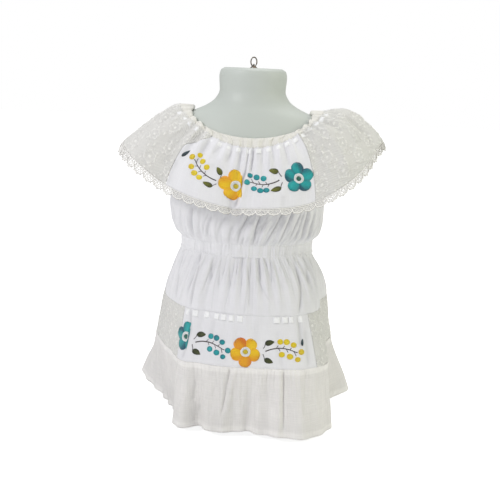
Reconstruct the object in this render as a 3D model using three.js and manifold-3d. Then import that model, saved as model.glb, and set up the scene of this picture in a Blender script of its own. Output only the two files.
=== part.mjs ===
// A child's campesina dress on a limbless dress form, in millimetres, +Z up, front towards -Y.
//
// The dress hangs from an elastic neckline that lies on the form's shoulders. Below the neckline casing a
// gathered flounce falls over the shoulders: an embroidered front panel, a plain back panel, a lace panel
// over each arm, and a scalloped crochet edging all round. Under it a short bodice runs to an elastic waist.
// The skirt has three tiers: a gathered panel, a band with lace sides, and a gathered bottom flounce.
// A satin ribbon is woven round the neckline and across the front of the skirt.
//
// Every cloth piece is a wall on a surface given by two numbers: u, the angle round the body in degrees
// (0 at the front, 90 at +X), and a distance down the cloth on the flounce, or a height on the rest.
import * as THREE from "three";
import { mergeVertices } from "three/addons/utils/BufferGeometryUtils.js";
import Module from "manifold-3d";

// ---- Driving sizes ----
const COTTON_WALL = 1.5;
const LACE_WALL = 1.8;
const ELASTIC_WALL = 1.6;
const EDGING_WALL = 1.4;
const SEAM_GAP = 0.3; // between two pieces at a seam, and between the cloth and what lies on it
const SEAT_GAP = 0.4; // between the form and the elastic that lies on it

const NECK_GATHERS = 40;
const WAIST_GATHERS = 44;
const HEM_GATHERS = 32;
const STATIONS_PER_GATHER = 3;
const NECK_STATIONS = NECK_GATHERS * STATIONS_PER_GATHER;
const WAIST_STATIONS = WAIST_GATHERS * STATIONS_PER_GATHER;
const HEM_STATIONS = HEM_GATHERS * STATIONS_PER_GATHER;
const FORM_STATIONS = 32;

const CASING_LENGTH = 12; // neckline edge to the flounce's gathering seam, along the cloth
const FLOUNCE_LENGTH = 96; // neckline edge to the flounce's hem
const EDGING_LENGTH = 12;
const SCALLOPS = { front: 30, back: 30, depth: 2.6, stations: 4 }; // even along the flounce's hem
const NECK_RIBBON = { top: 15.5, bottom: 21 };
const RIBBON_WALL = { under: 0.7, float: 1.5 }; // where a stitch bar crosses the ribbon, and where it shows

const WAIST_TOP_Z = 237;
const WAIST_BOTTOM_Z = 222;
const BAND_Z = 156; // seam between the skirt's first and second tier
const SEAM_Z = 92; // seam between the second tier and the bottom flounce
const HEM_Z = 8;
const ARMHOLE = { from: 34, to: 84, bottomZ: 318 }; // angles between which the bodice's top edge drops
const NECKLINE_RISE = 10; // from the middle of the front or back to the shoulder, on the bodice's top edge
const SKIRT_RIBBON = { top: 155, bottom: 147.5 };

const PANEL_HALF = 45; // half the front panel's angle, on the flounce and on the skirt's second tier
const SIDE_SEAM = 90;
const FLOUNCE_TURN = -4; // the flounce sits turned a little towards -X
// 1 is a straight cone; more puffs the skirt out under the waist, by side towards +X and less towards -X.
const SKIRT_PUFF = { middle: 1.62, side: 0.2 };

const EYE = { radius: 3.75, wire: 0.8, stretch: 1.5, seatRadius: 4.6, seatHeight: 2.2 };

// ---- Tables ----
const table = (columns, rows) =>
  rows.map((row) => Object.fromEntries(columns.map((name, i) => [name, row[i]])));

// The form's level sections: half its width, and its depth to the front and to the back of the axis.
const FORM_SECTIONS = table(["z", "side", "front", "back"], [
  [0, 74, 56, 58],
  [45, 81, 62, 64],
  [100, 87, 66, 68],
  [165, 84.5, 64, 65],
  [229, 81, 61.5, 60.5],
  [265, 83, 64.5, 62],
  [305, 88, 67.5, 64],
  [338, 92, 64, 62],
  [358, 94.5, 60.2, 59],
  [374, 94, 56.2, 56],
  [385, 89.5, 52.6, 53],
  [393, 81, 49.6, 50.6],
  [399, 69, 47, 48.4],
  [405, 56.5, 43.6, 46],
  [413, 46.5, 40.5, 43],
  [424, 41.5, 38.5, 41],
  [441, 42.5, 39, 41.5],
  [448.5, 41, 37.8, 40.2],
  [452, 36, 33, 35.5],
]);

// The flounce's rings, by distance from the neckline edge. The first ring's widths come from the form.
// The more a side droops, the lower its ring stays between the front and the shoulder.
const RING_COLUMNS = "along front frontZ right rightZ rightDroop back backZ left leftZ leftDroop";
const FLOUNCE_RINGS = table(RING_COLUMNS.split(" "), [
  [0, 59, 368, 79, 396.5, 2, 58, 373, 79, 398, 2],
  [12, 65.2, 357, 91, 400.5, 2, 64.6, 362, 91, 401.5, 2],
  [36, 75, 336, 115, 403, 2.1, 73, 341, 114, 392.5, 2],
  [68, 86, 307, 146, 386, 2.5, 83, 313, 143, 373, 2.1],
  [96, 94, 286, 165, 366, 2.8, 92, 291, 164, 354.5, 2.2],
  [108, 97, 277.5, 170, 355, 2.8, 95, 283, 171, 344, 2.2],
]);

// How far a panel's edges are drawn in towards the middle of the front and back, in degrees.
const PANEL_DRAW = table(["along", "left", "right"], [
  [0, 6, 3],
  [12, 8.5, 3.5],
  [36, 9.5, 6],
  [68, 11, 9.5],
  [96, 13.5, 12.5],
  [108, 14, 13.5],
]);

// How high the neckline's gathers stand at a distance from the neckline edge.
const NECK_GATHERING = table(["along", "height"], [
  [0, 1.1],
  [8, 1.1],
  [21, 1.7],
  [28, 1.6],
  [60, 0.3],
  [96, 0.2],
]);

// The bodice's level sections, and how high its gathers stand.
const BODICE_RINGS = table(["z", "front", "back", "left", "right", "gather"], [
  [222, 62.8, 61.8, 82.4, 83.6, 0.9],
  [237, 63.6, 62.4, 82.8, 84.4, 0.9],
  [247, 69, 66, 90.5, 93, 2],
  [263, 72.5, 69, 96.5, 96, 1.9],
  [279, 74, 70, 98.5, 96.5, 1.5],
  [305, 73, 69, 96.5, 95.5, 0.4],
  [335, 66.4, 65, 96.4, 96.4, 0],
  [357, 61.2, 60.6, 96.2, 96.2, 0],
]);

// How high the skirt's gathers stand: those under the waist, and those of the bottom flounce.
const SKIRT_GATHERING = table(["z", "waist", "flounce"], [
  [8, 0, 2.5],
  [50, 0, 1.7],
  [91, 0, 0.6],
  [92, 0, 0],
  [156, 0.5, 0],
  [182, 1.5, 0],
  [200, 2.4, 0],
  [208, 2.4, 0],
  [222, 0.9, 0],
]);

// The skirt's plan at the foot of each tier, by angle: distance from the axis, and how far the hem lifts.
const SKIRT_FOLDS = table(["at", "ribbon", "seam", "hem", "lift"], [
  [-180, 88, 101, 118, 6],
  [-160, 98, 114, 139, 8],
  [-142, 108, 126, 160, 12],
  [-127, 116, 133, 171, 16],
  [-113, 113, 126, 140, 14],
  [-96, 103, 110, 104, 8],
  [-80, 98.5, 101, 93, 4],
  [-66, 96, 98, 90, 2],
  [-52, 97, 104, 102, 0],
  [-39, 97, 112, 119, 0],
  [-29, 92, 107, 98, 1],
  [-18, 93, 106, 107, 0],
  [-7, 95, 105, 102, 0],
  [5, 97, 106, 98, 1],
  [15, 100, 109, 108, 0],
  [25, 104, 116, 124, 0],
  [37, 108, 126, 140, -1],
  [51, 110, 130, 139, 0],
  [64, 106, 122, 131, 2],
  [79, 97, 103, 104, 4],
  [94, 101, 104, 105, 6],
  [106, 114, 120, 143, 9],
  [117, 121, 134, 169, 10],
  [137, 110, 127, 161, 9],
  [157, 96, 112, 137, 7],
]);

// The flounce's soft waves: troughs are negative. lean is how far a wave turns from top to hem, in degrees.
const FLOUNCE_WAVES = table(["at", "lean", "width", "depth"], [
  [-4, -3, 4.2, -6.5],
  [-24, -2, 9, 3],
  [-46, 0, 7, -4],
  [-66, 3, 9, 5],
  [-86, 2, 8, -5],
  [-106, 0, 10, 5],
  [-131, 0, 9, -5],
  [-154, 0, 10, 5],
  [-176, 0, 8, -5],
  [22, -2, 10, 3],
  [43, 0, 7, -3.5],
  [61, -2, 9, 5],
  [80, 0, 8, -5.5],
  [99, 2, 9, 5],
  [121, 0, 9, -5],
  [143, 0, 9, 5],
  [163, 0, 8, -4],
]);

// ---- Curves through the tables ----
const radians = (degrees) => (degrees * Math.PI) / 180;
const mix = (a, b, share) => a + (b - a) * share;

function smoothstep(low, high, x) {
  const share = Math.min(1, Math.max(0, (x - low) / (high - low)));
  return share * share * (3 - 2 * share);
}

// The slope of a curve between two chords: their harmonic mean, and level where they turn back.
const slopeBetween = (before, after) => (before * after <= 0 ? 0 : (2 * before * after) / (before + after));

function hermite(x, x0, x1, y0, y1, slope0, slope1) {
  const width = x1 - x0;
  const t = (x - x0) / width;
  const rise = (1 + 2 * t) * (1 - t) * (1 - t) * y0 + t * t * (3 - 2 * t) * y1;
  return rise + width * (t * (1 - t) * (1 - t) * slope0 - t * t * (1 - t) * slope1);
}

// A smooth curve through one column of a table, held level past its ends.
function curveThrough(rows, key, column, x) {
  const last = rows.length - 1;
  if (x <= rows[0][key]) return rows[0][column];
  if (x >= rows[last][key]) return rows[last][column];
  const i = rows.findIndex((row) => row[key] > x) - 1;
  const chord = (k) => (rows[k + 1][column] - rows[k][column]) / (rows[k + 1][key] - rows[k][key]);
  const slope0 = i > 0 ? slopeBetween(chord(i - 1), chord(i)) : chord(i);
  const slope1 = i + 1 < last ? slopeBetween(chord(i), chord(i + 1)) : chord(i);
  return hermite(x, rows[i][key], rows[i + 1][key], rows[i][column], rows[i + 1][column], slope0, slope1);
}

// A smooth closed curve through one column of a table of angles.
function curveRound(rows, column, angle) {
  const count = rows.length;
  const x = angle - 360 * Math.floor((angle - rows[0].at) / 360);
  const at = (k) => rows[((k % count) + count) % count].at + 360 * Math.floor(k / count);
  const value = (k) => rows[((k % count) + count) % count][column];
  const chord = (k) => (value(k + 1) - value(k)) / (at(k + 1) - at(k));
  let i = count - 1;
  while (at(i) > x) i -= 1;
  const slope0 = slopeBetween(chord(i - 1), chord(i));
  const slope1 = slopeBetween(chord(i), chord(i + 1));
  return hermite(x, at(i), at(i + 1), value(i), value(i + 1), slope0, slope1);
}

// Spaces the gathers unevenly: the angle at which the cloth's station u lies.
const uneven = (u) => u + 2.1 * Math.sin(radians(2 * u + 35)) + 0.8 * Math.sin(radians(5 * u + 110));
// Some gathers stand higher than others.
const liveliness = (u) => 1 + 0.3 * Math.sin(radians(7 * u + 20)) + 0.22 * Math.sin(radians(11 * u + 200));
const LIVELIEST = 1.52;

// ---- Surfaces: a smooth base, and how far the folds stand out of it ----
function formPoint(angle, z) {
  const round = radians(angle);
  const side = curveThrough(FORM_SECTIONS, "z", "side", z);
  const depth = curveThrough(FORM_SECTIONS, "z", Math.cos(round) > 0 ? "front" : "back", z);
  return new THREE.Vector3(side * Math.sin(round), -depth * Math.cos(round), z);
}

// The angle at which the flounce's station u lies.
function flounceAngle(u, along) {
  const draw = curveThrough(PANEL_DRAW, "along", Math.sin(radians(u)) < 0 ? "left" : "right", along);
  return uneven(u) + FLOUNCE_TURN - draw * Math.sin(radians(2 * u));
}

function flounceBase(u, along) {
  const angle = flounceAngle(u, along);
  const across = Math.sin(radians(angle));
  const ahead = Math.cos(radians(angle));
  const ring = (column) => curveThrough(FLOUNCE_RINGS, "along", column, along);
  const ends = ahead > 0 ? ["front", "frontZ"] : ["back", "backZ"];
  const sides = across > 0 ? ["right", "rightZ", "rightDroop"] : ["left", "leftZ", "leftDroop"];
  const z = mix(ring(ends[1]), ring(sides[1]), Math.abs(across) ** ring(sides[2]));
  const free = new THREE.Vector3(ring(sides[0]) * across, -ring(ends[0]) * ahead, z);
  if (along >= CASING_LENGTH) return free;
  const seat = formPoint(angle, z);
  const outwards = new THREE.Vector3(seat.x, seat.y, 0).normalize();
  const stand = SEAT_GAP + NECK_GATHERING[0].height * LIVELIEST;
  seat.addScaledVector(outwards, stand).z += stand * across * across;
  return seat.lerp(free, smoothstep(0, CASING_LENGTH, along));
}

const gatherWave = (count, u) => Math.cos(radians(count * u)) * liveliness(u);

function flounceFold(u, along) {
  const gather = curveThrough(NECK_GATHERING, "along", "height", along) * gatherWave(NECK_GATHERS, u);
  const share = smoothstep(CASING_LENGTH, FLOUNCE_LENGTH, along);
  let wave = 0;
  for (const { at, lean, width, depth } of FLOUNCE_WAVES) {
    const away = ((((u - at - lean * share) % 360) + 540) % 360) - 180;
    wave += depth * Math.exp(-((away / width) ** 2));
  }
  return gather + wave * (0.25 * smoothstep(CASING_LENGTH, 24, along) + 0.75 * share);
}

// The bodice's top edge follows the neckline casing at front and back, and drops under each arm.
function bodiceTop(u) {
  const fromMiddle = Math.abs(u) > SIDE_SEAM ? 180 - Math.abs(u) : Math.abs(u);
  const middle = Math.abs(u) > SIDE_SEAM ? 180 : 0;
  const sewn = flounceBase(middle, CASING_LENGTH).z - COTTON_WALL - SEAM_GAP;
  const neckline = sewn + NECKLINE_RISE * Math.sin(radians(fromMiddle)) ** 2;
  return mix(neckline, ARMHOLE.bottomZ, smoothstep(ARMHOLE.from, ARMHOLE.to, fromMiddle));
}

// The bodice's gathers lean over: upwards, they turn towards +X.
const bodiceLean = (z) => 11 * smoothstep(WAIST_TOP_Z, ARMHOLE.bottomZ, z);

function bodiceBase(u, z) {
  const round = radians(uneven(u) + bodiceLean(z) * Math.cos(radians(u)));
  const across = Math.sin(round);
  const ahead = Math.cos(round);
  const side = curveThrough(BODICE_RINGS, "z", across > 0 ? "right" : "left", z);
  const depth = curveThrough(BODICE_RINGS, "z", ahead > 0 ? "front" : "back", z);
  return new THREE.Vector3(side * across, -depth * ahead, z);
}

const bodiceFold = (u, z) => curveThrough(BODICE_RINGS, "z", "gather", z) * gatherWave(WAIST_GATHERS, u);

// The skirt below the waist, by height above the hem's own level: each tier swings out to its foot.
function skirtBase(u, z) {
  const angle = uneven(u);
  const waist = bodiceBase(u, WAIST_BOTTOM_Z);
  const radius = (column) => curveRound(SKIRT_FOLDS, column, angle);
  const top = Math.hypot(waist.x, waist.y);
  const fallen = (WAIST_BOTTOM_Z - 1 - z) / (WAIST_BOTTOM_Z - 1 - BAND_Z);
  const puffed = SKIRT_PUFF.middle + SKIRT_PUFF.side * Math.sin(radians(angle));
  const puff = 1 - (1 - Math.min(1, Math.max(0, fallen))) ** puffed;
  let reach = mix(top, radius("ribbon"), puff);
  if (z < BAND_Z) reach = mix(radius("ribbon"), radius("seam"), (BAND_Z - z) / (BAND_Z - SEAM_Z));
  const fall = (SEAM_Z - z) / (SEAM_Z - HEM_Z);
  if (z < SEAM_Z) reach = mix(radius("seam"), radius("hem"), mix(fall, smoothstep(0, 1, fall), 0.4));
  const low = (WAIST_BOTTOM_Z - z) / (WAIST_BOTTOM_Z - HEM_Z);
  const lift = radius("lift") * low * low;
  return new THREE.Vector3(reach * Math.sin(radians(angle)), -reach * Math.cos(radians(angle)), z + lift);
}

function skirtFold(u, z) {
  const height = (column) => curveThrough(SKIRT_GATHERING, "z", column, z);
  return height("waist") * gatherWave(WAIST_GATHERS, u) + height("flounce") * gatherWave(HEM_GATHERS, u);
}

// A point at a distance out of a surface's inner face, along the base's own normal.
function offSurface({ base, fold }, u, along, out) {
  const point = base(u, along);
  const step = 0.05;
  const round = base(u + step, along).sub(base(u - step, along));
  const down = base(u, along + step).sub(base(u, along - step));
  const normal = down.cross(round).normalize();
  return point.addScaledVector(normal, fold(u, along) + out);
}

const flounce = { base: flounceBase, fold: flounceFold };
const bodice = { base: bodiceBase, fold: bodiceFold };
const skirt = { base: skirtBase, fold: skirtFold };
// On the bodice and skirt the second number is a height, which runs down the cloth as it falls.
const downwards = ({ base, fold }) => ({
  base: (u, depth) => base(u, -depth),
  fold: (u, depth) => fold(u, -depth),
});

// ---- Walls ----
// A closed solid from a grid of points: columns run round the body, and rows run down the cloth.
function gridSolid(outer, inner, closed) {
  const columns = outer.length;
  const rows = outer[0].length;
  const points = [...outer.flat(), ...inner.flat()];
  const innerStart = columns * rows;
  const index = [];
  const quad = (a, b, c, d) => index.push(a, b, c, a, c, d);
  const at = (i, j) => (i % columns) * rows + j;
  const spans = closed ? columns : columns - 1;
  for (let i = 0; i < spans; i += 1) {
    for (let j = 0; j < rows - 1; j += 1) {
      quad(at(i, j), at(i, j + 1), at(i + 1, j + 1), at(i + 1, j));
      const [a, b, c, d] = [at(i, j), at(i + 1, j), at(i + 1, j + 1), at(i, j + 1)];
      quad(a + innerStart, b + innerStart, c + innerStart, d + innerStart);
    }
    quad(at(i, 0), at(i + 1, 0), at(i + 1, 0) + innerStart, at(i, 0) + innerStart);
    quad(at(i + 1, rows - 1), at(i, rows - 1), at(i, rows - 1) + innerStart, at(i + 1, rows - 1) + innerStart);
  }
  for (let j = 0; j < rows - 1 && !closed; j += 1) {
    const end = columns - 1;
    quad(at(0, j + 1), at(0, j), at(0, j) + innerStart, at(0, j + 1) + innerStart);
    quad(at(end, j), at(end, j + 1), at(end, j + 1) + innerStart, at(end, j) + innerStart);
  }
  const geometry = new THREE.BufferGeometry().setFromPoints(points);
  geometry.setIndex(index);
  geometry.computeVertexNormals();
  return geometry;
}

// The stations of a piece from one angle to another, drawn in by half a seam gap at each end.
function stationsBetween(count, from, to, gapAngle) {
  const pitch = 360 / count;
  const stations = [];
  for (let k = Math.round(from / pitch); k <= Math.round(to / pitch); k += 1) stations.push(k * pitch);
  stations[0] += gapAngle / 2;
  stations[stations.length - 1] -= gapAngle / 2;
  return stations;
}

const stationsRound = (count) => Array.from({ length: count }, (_, k) => -180 + (k * 360) / count);

// A wall on a surface. rows(u) gives its levels at a station, and thickness is a number or a function of u.
function clothWall({ surface, stations, rows, thickness, stand = 0, closed = false }) {
  const thick = typeof thickness === "function" ? thickness : () => thickness;
  const face = (out) => stations.map((u) => rows(u).map((along) => offSurface(surface, u, along, out(u))));
  return gridSolid(face((u) => stand + thick(u)), face(() => stand), closed);
}

// Levels from top to bottom, evenly spaced or at the given shares.
const levels = (top, bottom, shares) => () => shares.map((share) => mix(top, bottom, share));

// ---- Materials ----
const finish = (color, roughness, metalness = 0) =>
  new THREE.MeshStandardMaterial({ color, roughness, metalness });
const COTTON = finish(0xe9e9ec, 0.9);
const GAUZE = finish(0xe4e3df, 0.92);
const LACE = finish(0xe6e4d9, 0.85);
const CROCHET = finish(0xe9e3d6, 0.88);
const SATIN = finish(0xf7f7f8, 0.35);
const FORM_PLASTIC = finish(0xc3cac4, 0.5);
const STEEL = finish(0x8f8f88, 0.3, 1);

const dress = new THREE.Group();
function add(name, geometry, material) {
  const mesh = new THREE.Mesh(geometry, material.clone());
  mesh.name = name;
  dress.add(mesh);
}

// ---- Dress form ----
function formGeometry() {
  const angles = stationsRound(FORM_STATIONS);
  const rings = FORM_SECTIONS.map(({ z }) => angles.map((angle) => formPoint(angle, z)));
  const points = rings.flat();
  const base = points.push(new THREE.Vector3(0, 0, FORM_SECTIONS[0].z)) - 1;
  const crown = points.push(new THREE.Vector3(0, 0, FORM_SECTIONS.at(-1).z)) - 1;
  const index = [];
  const at = (ring, i) => ring * FORM_STATIONS + (i % FORM_STATIONS);
  const top = rings.length - 1;
  for (let i = 0; i < FORM_STATIONS; i += 1) {
    for (let ring = 0; ring < top; ring += 1) {
      index.push(at(ring, i), at(ring, i + 1), at(ring + 1, i + 1));
      index.push(at(ring, i), at(ring + 1, i + 1), at(ring + 1, i));
    }
    index.push(base, at(0, i + 1), at(0, i));
    index.push(crown, at(top, i), at(top, i + 1));
  }
  const geometry = new THREE.BufferGeometry().setFromPoints(points);
  geometry.setIndex(index);
  geometry.computeVertexNormals();
  return geometry;
}

add("form_torso", formGeometry(), FORM_PLASTIC);

// The hanging eye: an oval wire loop on a small round seat.
const wasm = await Module();
wasm.setup();

function toSolid(geometry) {
  geometry.deleteAttribute("normal");
  geometry.deleteAttribute("uv");
  const merged = mergeVertices(geometry);
  const mesh = new wasm.Mesh({
    numProp: 3,
    vertProperties: new Float32Array(merged.getAttribute("position").array),
    triVerts: new Uint32Array(merged.index.array),
  });
  return new wasm.Manifold(mesh);
}

function toGeometry(solid) {
  const mesh = solid.getMesh();
  const geometry = new THREE.BufferGeometry();
  geometry.setAttribute("position", new THREE.BufferAttribute(new Float32Array(mesh.vertProperties), 3));
  geometry.setIndex(new THREE.BufferAttribute(new Uint32Array(mesh.triVerts), 1));
  return geometry;
}

function eyeGeometry() {
  const crownZ = FORM_SECTIONS.at(-1).z + SEAM_GAP;
  const loopHeight = (EYE.radius + EYE.wire) * EYE.stretch;
  const loop = new THREE.TorusGeometry(EYE.radius, EYE.wire, 6, 18)
    .rotateX(Math.PI / 2)
    .scale(1, 1, EYE.stretch)
    .translate(0, 0, crownZ + EYE.seatHeight * 0.4 + loopHeight);
  const seat = new THREE.CylinderGeometry(EYE.seatRadius * 0.7, EYE.seatRadius, EYE.seatHeight, 12)
    .rotateX(Math.PI / 2)
    .translate(0, 0, crownZ + EYE.seatHeight / 2);
  return toGeometry(toSolid(seat).add(toSolid(loop)));
}

add("form_eye", eyeGeometry(), STEEL);

// ---- Neckline ----
const neckRound = stationsRound(NECK_STATIONS);
add(
  "neck_casing",
  clothWall({
    surface: flounce,
    stations: neckRound,
    rows: levels(0, CASING_LENGTH - SEAM_GAP, [0, 1]),
    thickness: ELASTIC_WALL,
    closed: true,
  }),
  CROCHET,
);

// A ribbon lies on the cloth as a thin strip, and stands higher where it shows between the stitch bars.
const ribbonThickness = (count, floatStations, barStations) => (u) => {
  const station = Math.round(((u + 180) * count) / 360);
  return station % (floatStations + barStations) < floatStations ? RIBBON_WALL.float : RIBBON_WALL.under;
};
add(
  "neck_ribbon",
  clothWall({
    surface: flounce,
    stations: neckRound,
    rows: levels(NECK_RIBBON.top, NECK_RIBBON.bottom, [0, 1]),
    thickness: ribbonThickness(NECK_STATIONS, 2, 1),
    stand: LACE_WALL + SEAM_GAP,
    closed: true,
  }),
  SATIN,
);

// ---- Flounce ----
const FLOUNCE_PANELS = [
  { name: "flounce_front", from: -PANEL_HALF, to: PANEL_HALF, material: COTTON, wall: COTTON_WALL },
  { name: "flounce_lace_right", from: PANEL_HALF, to: 180 - PANEL_HALF, material: LACE, wall: LACE_WALL },
  { name: "flounce_back", from: 180 - PANEL_HALF, to: 180 + PANEL_HALF, material: COTTON, wall: COTTON_WALL },
  { name: "flounce_lace_left", from: PANEL_HALF - 180, to: -PANEL_HALF, material: LACE, wall: LACE_WALL },
];
const FLOUNCE_GAP_ANGLE = 0.22;
for (const { name, from, to, material, wall } of FLOUNCE_PANELS) {
  add(
    name,
    clothWall({
      surface: flounce,
      stations: stationsBetween(NECK_STATIONS, from, to, FLOUNCE_GAP_ANGLE),
      rows: () => [CASING_LENGTH, NECK_RIBBON.top, NECK_RIBBON.bottom, 46, 71, FLOUNCE_LENGTH],
      thickness: wall,
    }),
    material,
  );
}

// The stations of a length of edging: a scallop's are evenly spaced along the flounce's hem, not by angle.
function hemStations(from, to, count, gapAngle) {
  const step = 0.5;
  const walked = [{ u: from, length: 0 }];
  for (let u = from + step; u <= to; u += step) {
    const stride = flounceBase(u, FLOUNCE_LENGTH).distanceTo(flounceBase(u - step, FLOUNCE_LENGTH));
    walked.push({ u, length: walked.at(-1).length + stride });
  }
  const stations = Array.from({ length: count + 1 }, (_, k) => {
    const target = (walked.at(-1).length * k) / count;
    const i = Math.max(1, walked.findIndex(({ length }) => length >= target));
    const [before, after] = [walked[i - 1], walked[i]];
    return mix(before.u, after.u, (target - before.length) / (after.length - before.length));
  });
  stations[0] = from + gapAngle / 2;
  stations[count] = to - gapAngle / 2;
  return stations;
}

// The crochet edging, in a front and a back length. Each scallop rises from a valley to its tip and back.
for (const [name, from, to, scallops] of [
  ["edging_front", -SIDE_SEAM, SIDE_SEAM, SCALLOPS.front],
  ["edging_back", SIDE_SEAM, 360 - SIDE_SEAM, SCALLOPS.back],
]) {
  const stations = hemStations(from, to, scallops * SCALLOPS.stations, FLOUNCE_GAP_ANGLE);
  const drop = new Map(stations.map((u, k) => [u, Math.abs(Math.sin((Math.PI * k) / SCALLOPS.stations))]));
  const foot = (u) => FLOUNCE_LENGTH + EDGING_LENGTH - SCALLOPS.depth * (1 - drop.get(u));
  add(
    name,
    clothWall({
      surface: flounce,
      stations,
      rows: (u) => [FLOUNCE_LENGTH + SEAM_GAP, foot(u)],
      thickness: EDGING_WALL,
    }),
    CROCHET,
  );
}

// ---- Bodice and waist ----
const SKIRT_GAP_ANGLE = 0.22;
const BODY_HALVES = [
  ["front", -SIDE_SEAM, SIDE_SEAM],
  ["back", SIDE_SEAM, 360 - SIDE_SEAM],
];
const wrapped = (u) => (u > 180 ? u - 360 : u);
for (const [side, from, to] of BODY_HALVES) {
  add(
    `bodice_${side}`,
    clothWall({
      surface: downwards(bodice),
      stations: stationsBetween(WAIST_STATIONS, from, to, SKIRT_GAP_ANGLE),
      rows: (u) => [0, 0.55, 1].map((share) => -mix(bodiceTop(wrapped(u)), WAIST_TOP_Z + SEAM_GAP, share)),
      thickness: COTTON_WALL,
    }),
    COTTON,
  );
}
add(
  "waist_casing",
  clothWall({
    surface: downwards(bodice),
    stations: stationsRound(WAIST_STATIONS),
    rows: levels(-WAIST_TOP_Z, -(WAIST_BOTTOM_Z + SEAM_GAP), [0, 1]),
    thickness: ELASTIC_WALL,
    closed: true,
  }),
  COTTON,
);

// ---- Skirt ----
for (const [side, from, to] of BODY_HALVES) {
  add(
    `skirt_${side}`,
    clothWall({
      surface: downwards(skirt),
      stations: stationsBetween(WAIST_STATIONS, from, to, SKIRT_GAP_ANGLE),
      rows: levels(-WAIST_BOTTOM_Z, -(BAND_Z + SEAM_GAP), [0, 0.22, 0.55, 1]),
      thickness: COTTON_WALL,
    }),
    COTTON,
  );
}

const BAND_PANELS = [
  { name: "band_front", from: -PANEL_HALF, to: PANEL_HALF, material: COTTON, wall: COTTON_WALL, ribbon: true },
  { name: "band_lace_right", from: PANEL_HALF, to: 180 - PANEL_HALF, material: LACE, wall: LACE_WALL },
  { name: "band_back", from: 180 - PANEL_HALF, to: 180 + PANEL_HALF, material: COTTON, wall: COTTON_WALL },
  { name: "band_lace_left", from: PANEL_HALF - 180, to: -PANEL_HALF, material: LACE, wall: LACE_WALL },
];
const ribbonRows = [-SKIRT_RIBBON.top, -SKIRT_RIBBON.bottom];
for (const { name, from, to, material, wall, ribbon } of BAND_PANELS) {
  const seamRows = [-BAND_Z, -(SEAM_Z + SEAM_GAP)];
  const middle = -(BAND_Z + SEAM_Z) / 2;
  add(
    name,
    clothWall({
      surface: downwards(skirt),
      stations: stationsBetween(HEM_STATIONS, from, to, SKIRT_GAP_ANGLE),
      rows: () => [seamRows[0], ...(ribbon ? ribbonRows : []), middle, seamRows[1]],
      thickness: wall,
    }),
    material,
  );
}
add(
  "skirt_ribbon",
  clothWall({
    surface: downwards(skirt),
    stations: stationsBetween(HEM_STATIONS, -PANEL_HALF, PANEL_HALF, SKIRT_GAP_ANGLE),
    rows: () => ribbonRows,
    thickness: ribbonThickness(HEM_STATIONS, 2, 1),
    stand: COTTON_WALL + SEAM_GAP,
  }),
  SATIN,
);
for (const [side, from, to] of BODY_HALVES) {
  add(
    `hem_flounce_${side}`,
    clothWall({
      surface: downwards(skirt),
      stations: stationsBetween(HEM_STATIONS, from, to, SKIRT_GAP_ANGLE),
      rows: levels(-SEAM_Z, -HEM_Z, [0, 0.35, 0.7, 1]),
      thickness: COTTON_WALL,
    }),
    GAUZE,
  );
}

export default dress;
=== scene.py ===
import bpy
import numpy as np
from mathutils import Matrix, Vector


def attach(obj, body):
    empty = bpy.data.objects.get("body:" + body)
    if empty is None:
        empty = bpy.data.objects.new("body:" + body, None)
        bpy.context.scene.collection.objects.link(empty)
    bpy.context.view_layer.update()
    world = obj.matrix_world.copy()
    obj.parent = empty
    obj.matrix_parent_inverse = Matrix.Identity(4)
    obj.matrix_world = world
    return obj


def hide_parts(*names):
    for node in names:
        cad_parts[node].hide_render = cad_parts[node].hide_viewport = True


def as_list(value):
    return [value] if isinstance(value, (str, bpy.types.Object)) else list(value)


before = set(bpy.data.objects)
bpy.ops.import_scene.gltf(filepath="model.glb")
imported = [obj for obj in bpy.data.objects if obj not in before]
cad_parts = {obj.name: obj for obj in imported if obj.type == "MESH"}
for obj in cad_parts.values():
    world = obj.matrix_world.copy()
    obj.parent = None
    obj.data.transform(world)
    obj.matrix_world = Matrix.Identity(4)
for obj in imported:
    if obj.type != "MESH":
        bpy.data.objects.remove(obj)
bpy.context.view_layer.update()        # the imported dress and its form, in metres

MM = 0.001


# ---- Tables ----
def table(columns, rows):
    """Rows of numbers as a dictionary with one array for each named column."""
    return dict(zip(columns.split(), np.array(rows, float).T))


# The form's level sections: half its width, and its depth to the front and to the back.
FORM = table("z side front back", [
    [0, 74, 56, 58], [45, 81, 62, 64], [100, 87, 66, 68], [165, 84.5, 64, 65], [229, 81, 61.5, 60.5],
    [265, 83, 64.5, 62], [305, 88, 67.5, 64], [338, 92, 64, 62], [358, 94.5, 60.2, 59], [374, 94, 56.2, 56],
    [385, 89.5, 52.6, 53], [393, 81, 49.6, 50.6], [399, 69, 47, 48.4], [405, 56.5, 43.6, 46],
    [413, 46.5, 40.5, 43], [424, 41.5, 38.5, 41], [441, 42.5, 39, 41.5], [448.5, 41, 37.8, 40.2],
    [452, 36, 33, 35.5],
])
# The flounce's rings, by distance from the neckline edge. More droop keeps a side low up to the shoulder.
FLOUNCE = table("along front front_z right right_z right_droop back back_z left left_z left_droop", [
    [0, 59, 368, 79, 396.5, 2, 58, 373, 79, 398, 2],
    [12, 65.2, 357, 91, 400.5, 2, 64.6, 362, 91, 401.5, 2],
    [36, 75, 336, 115, 403, 2.1, 73, 341, 114, 392.5, 2],
    [68, 86, 307, 146, 386, 2.5, 83, 313, 143, 373, 2.1],
    [96, 94, 286, 165, 366, 2.8, 92, 291, 164, 354.5, 2.2],
    [108, 97, 277.5, 170, 355, 2.8, 95, 283, 171, 344, 2.2],
])
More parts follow.
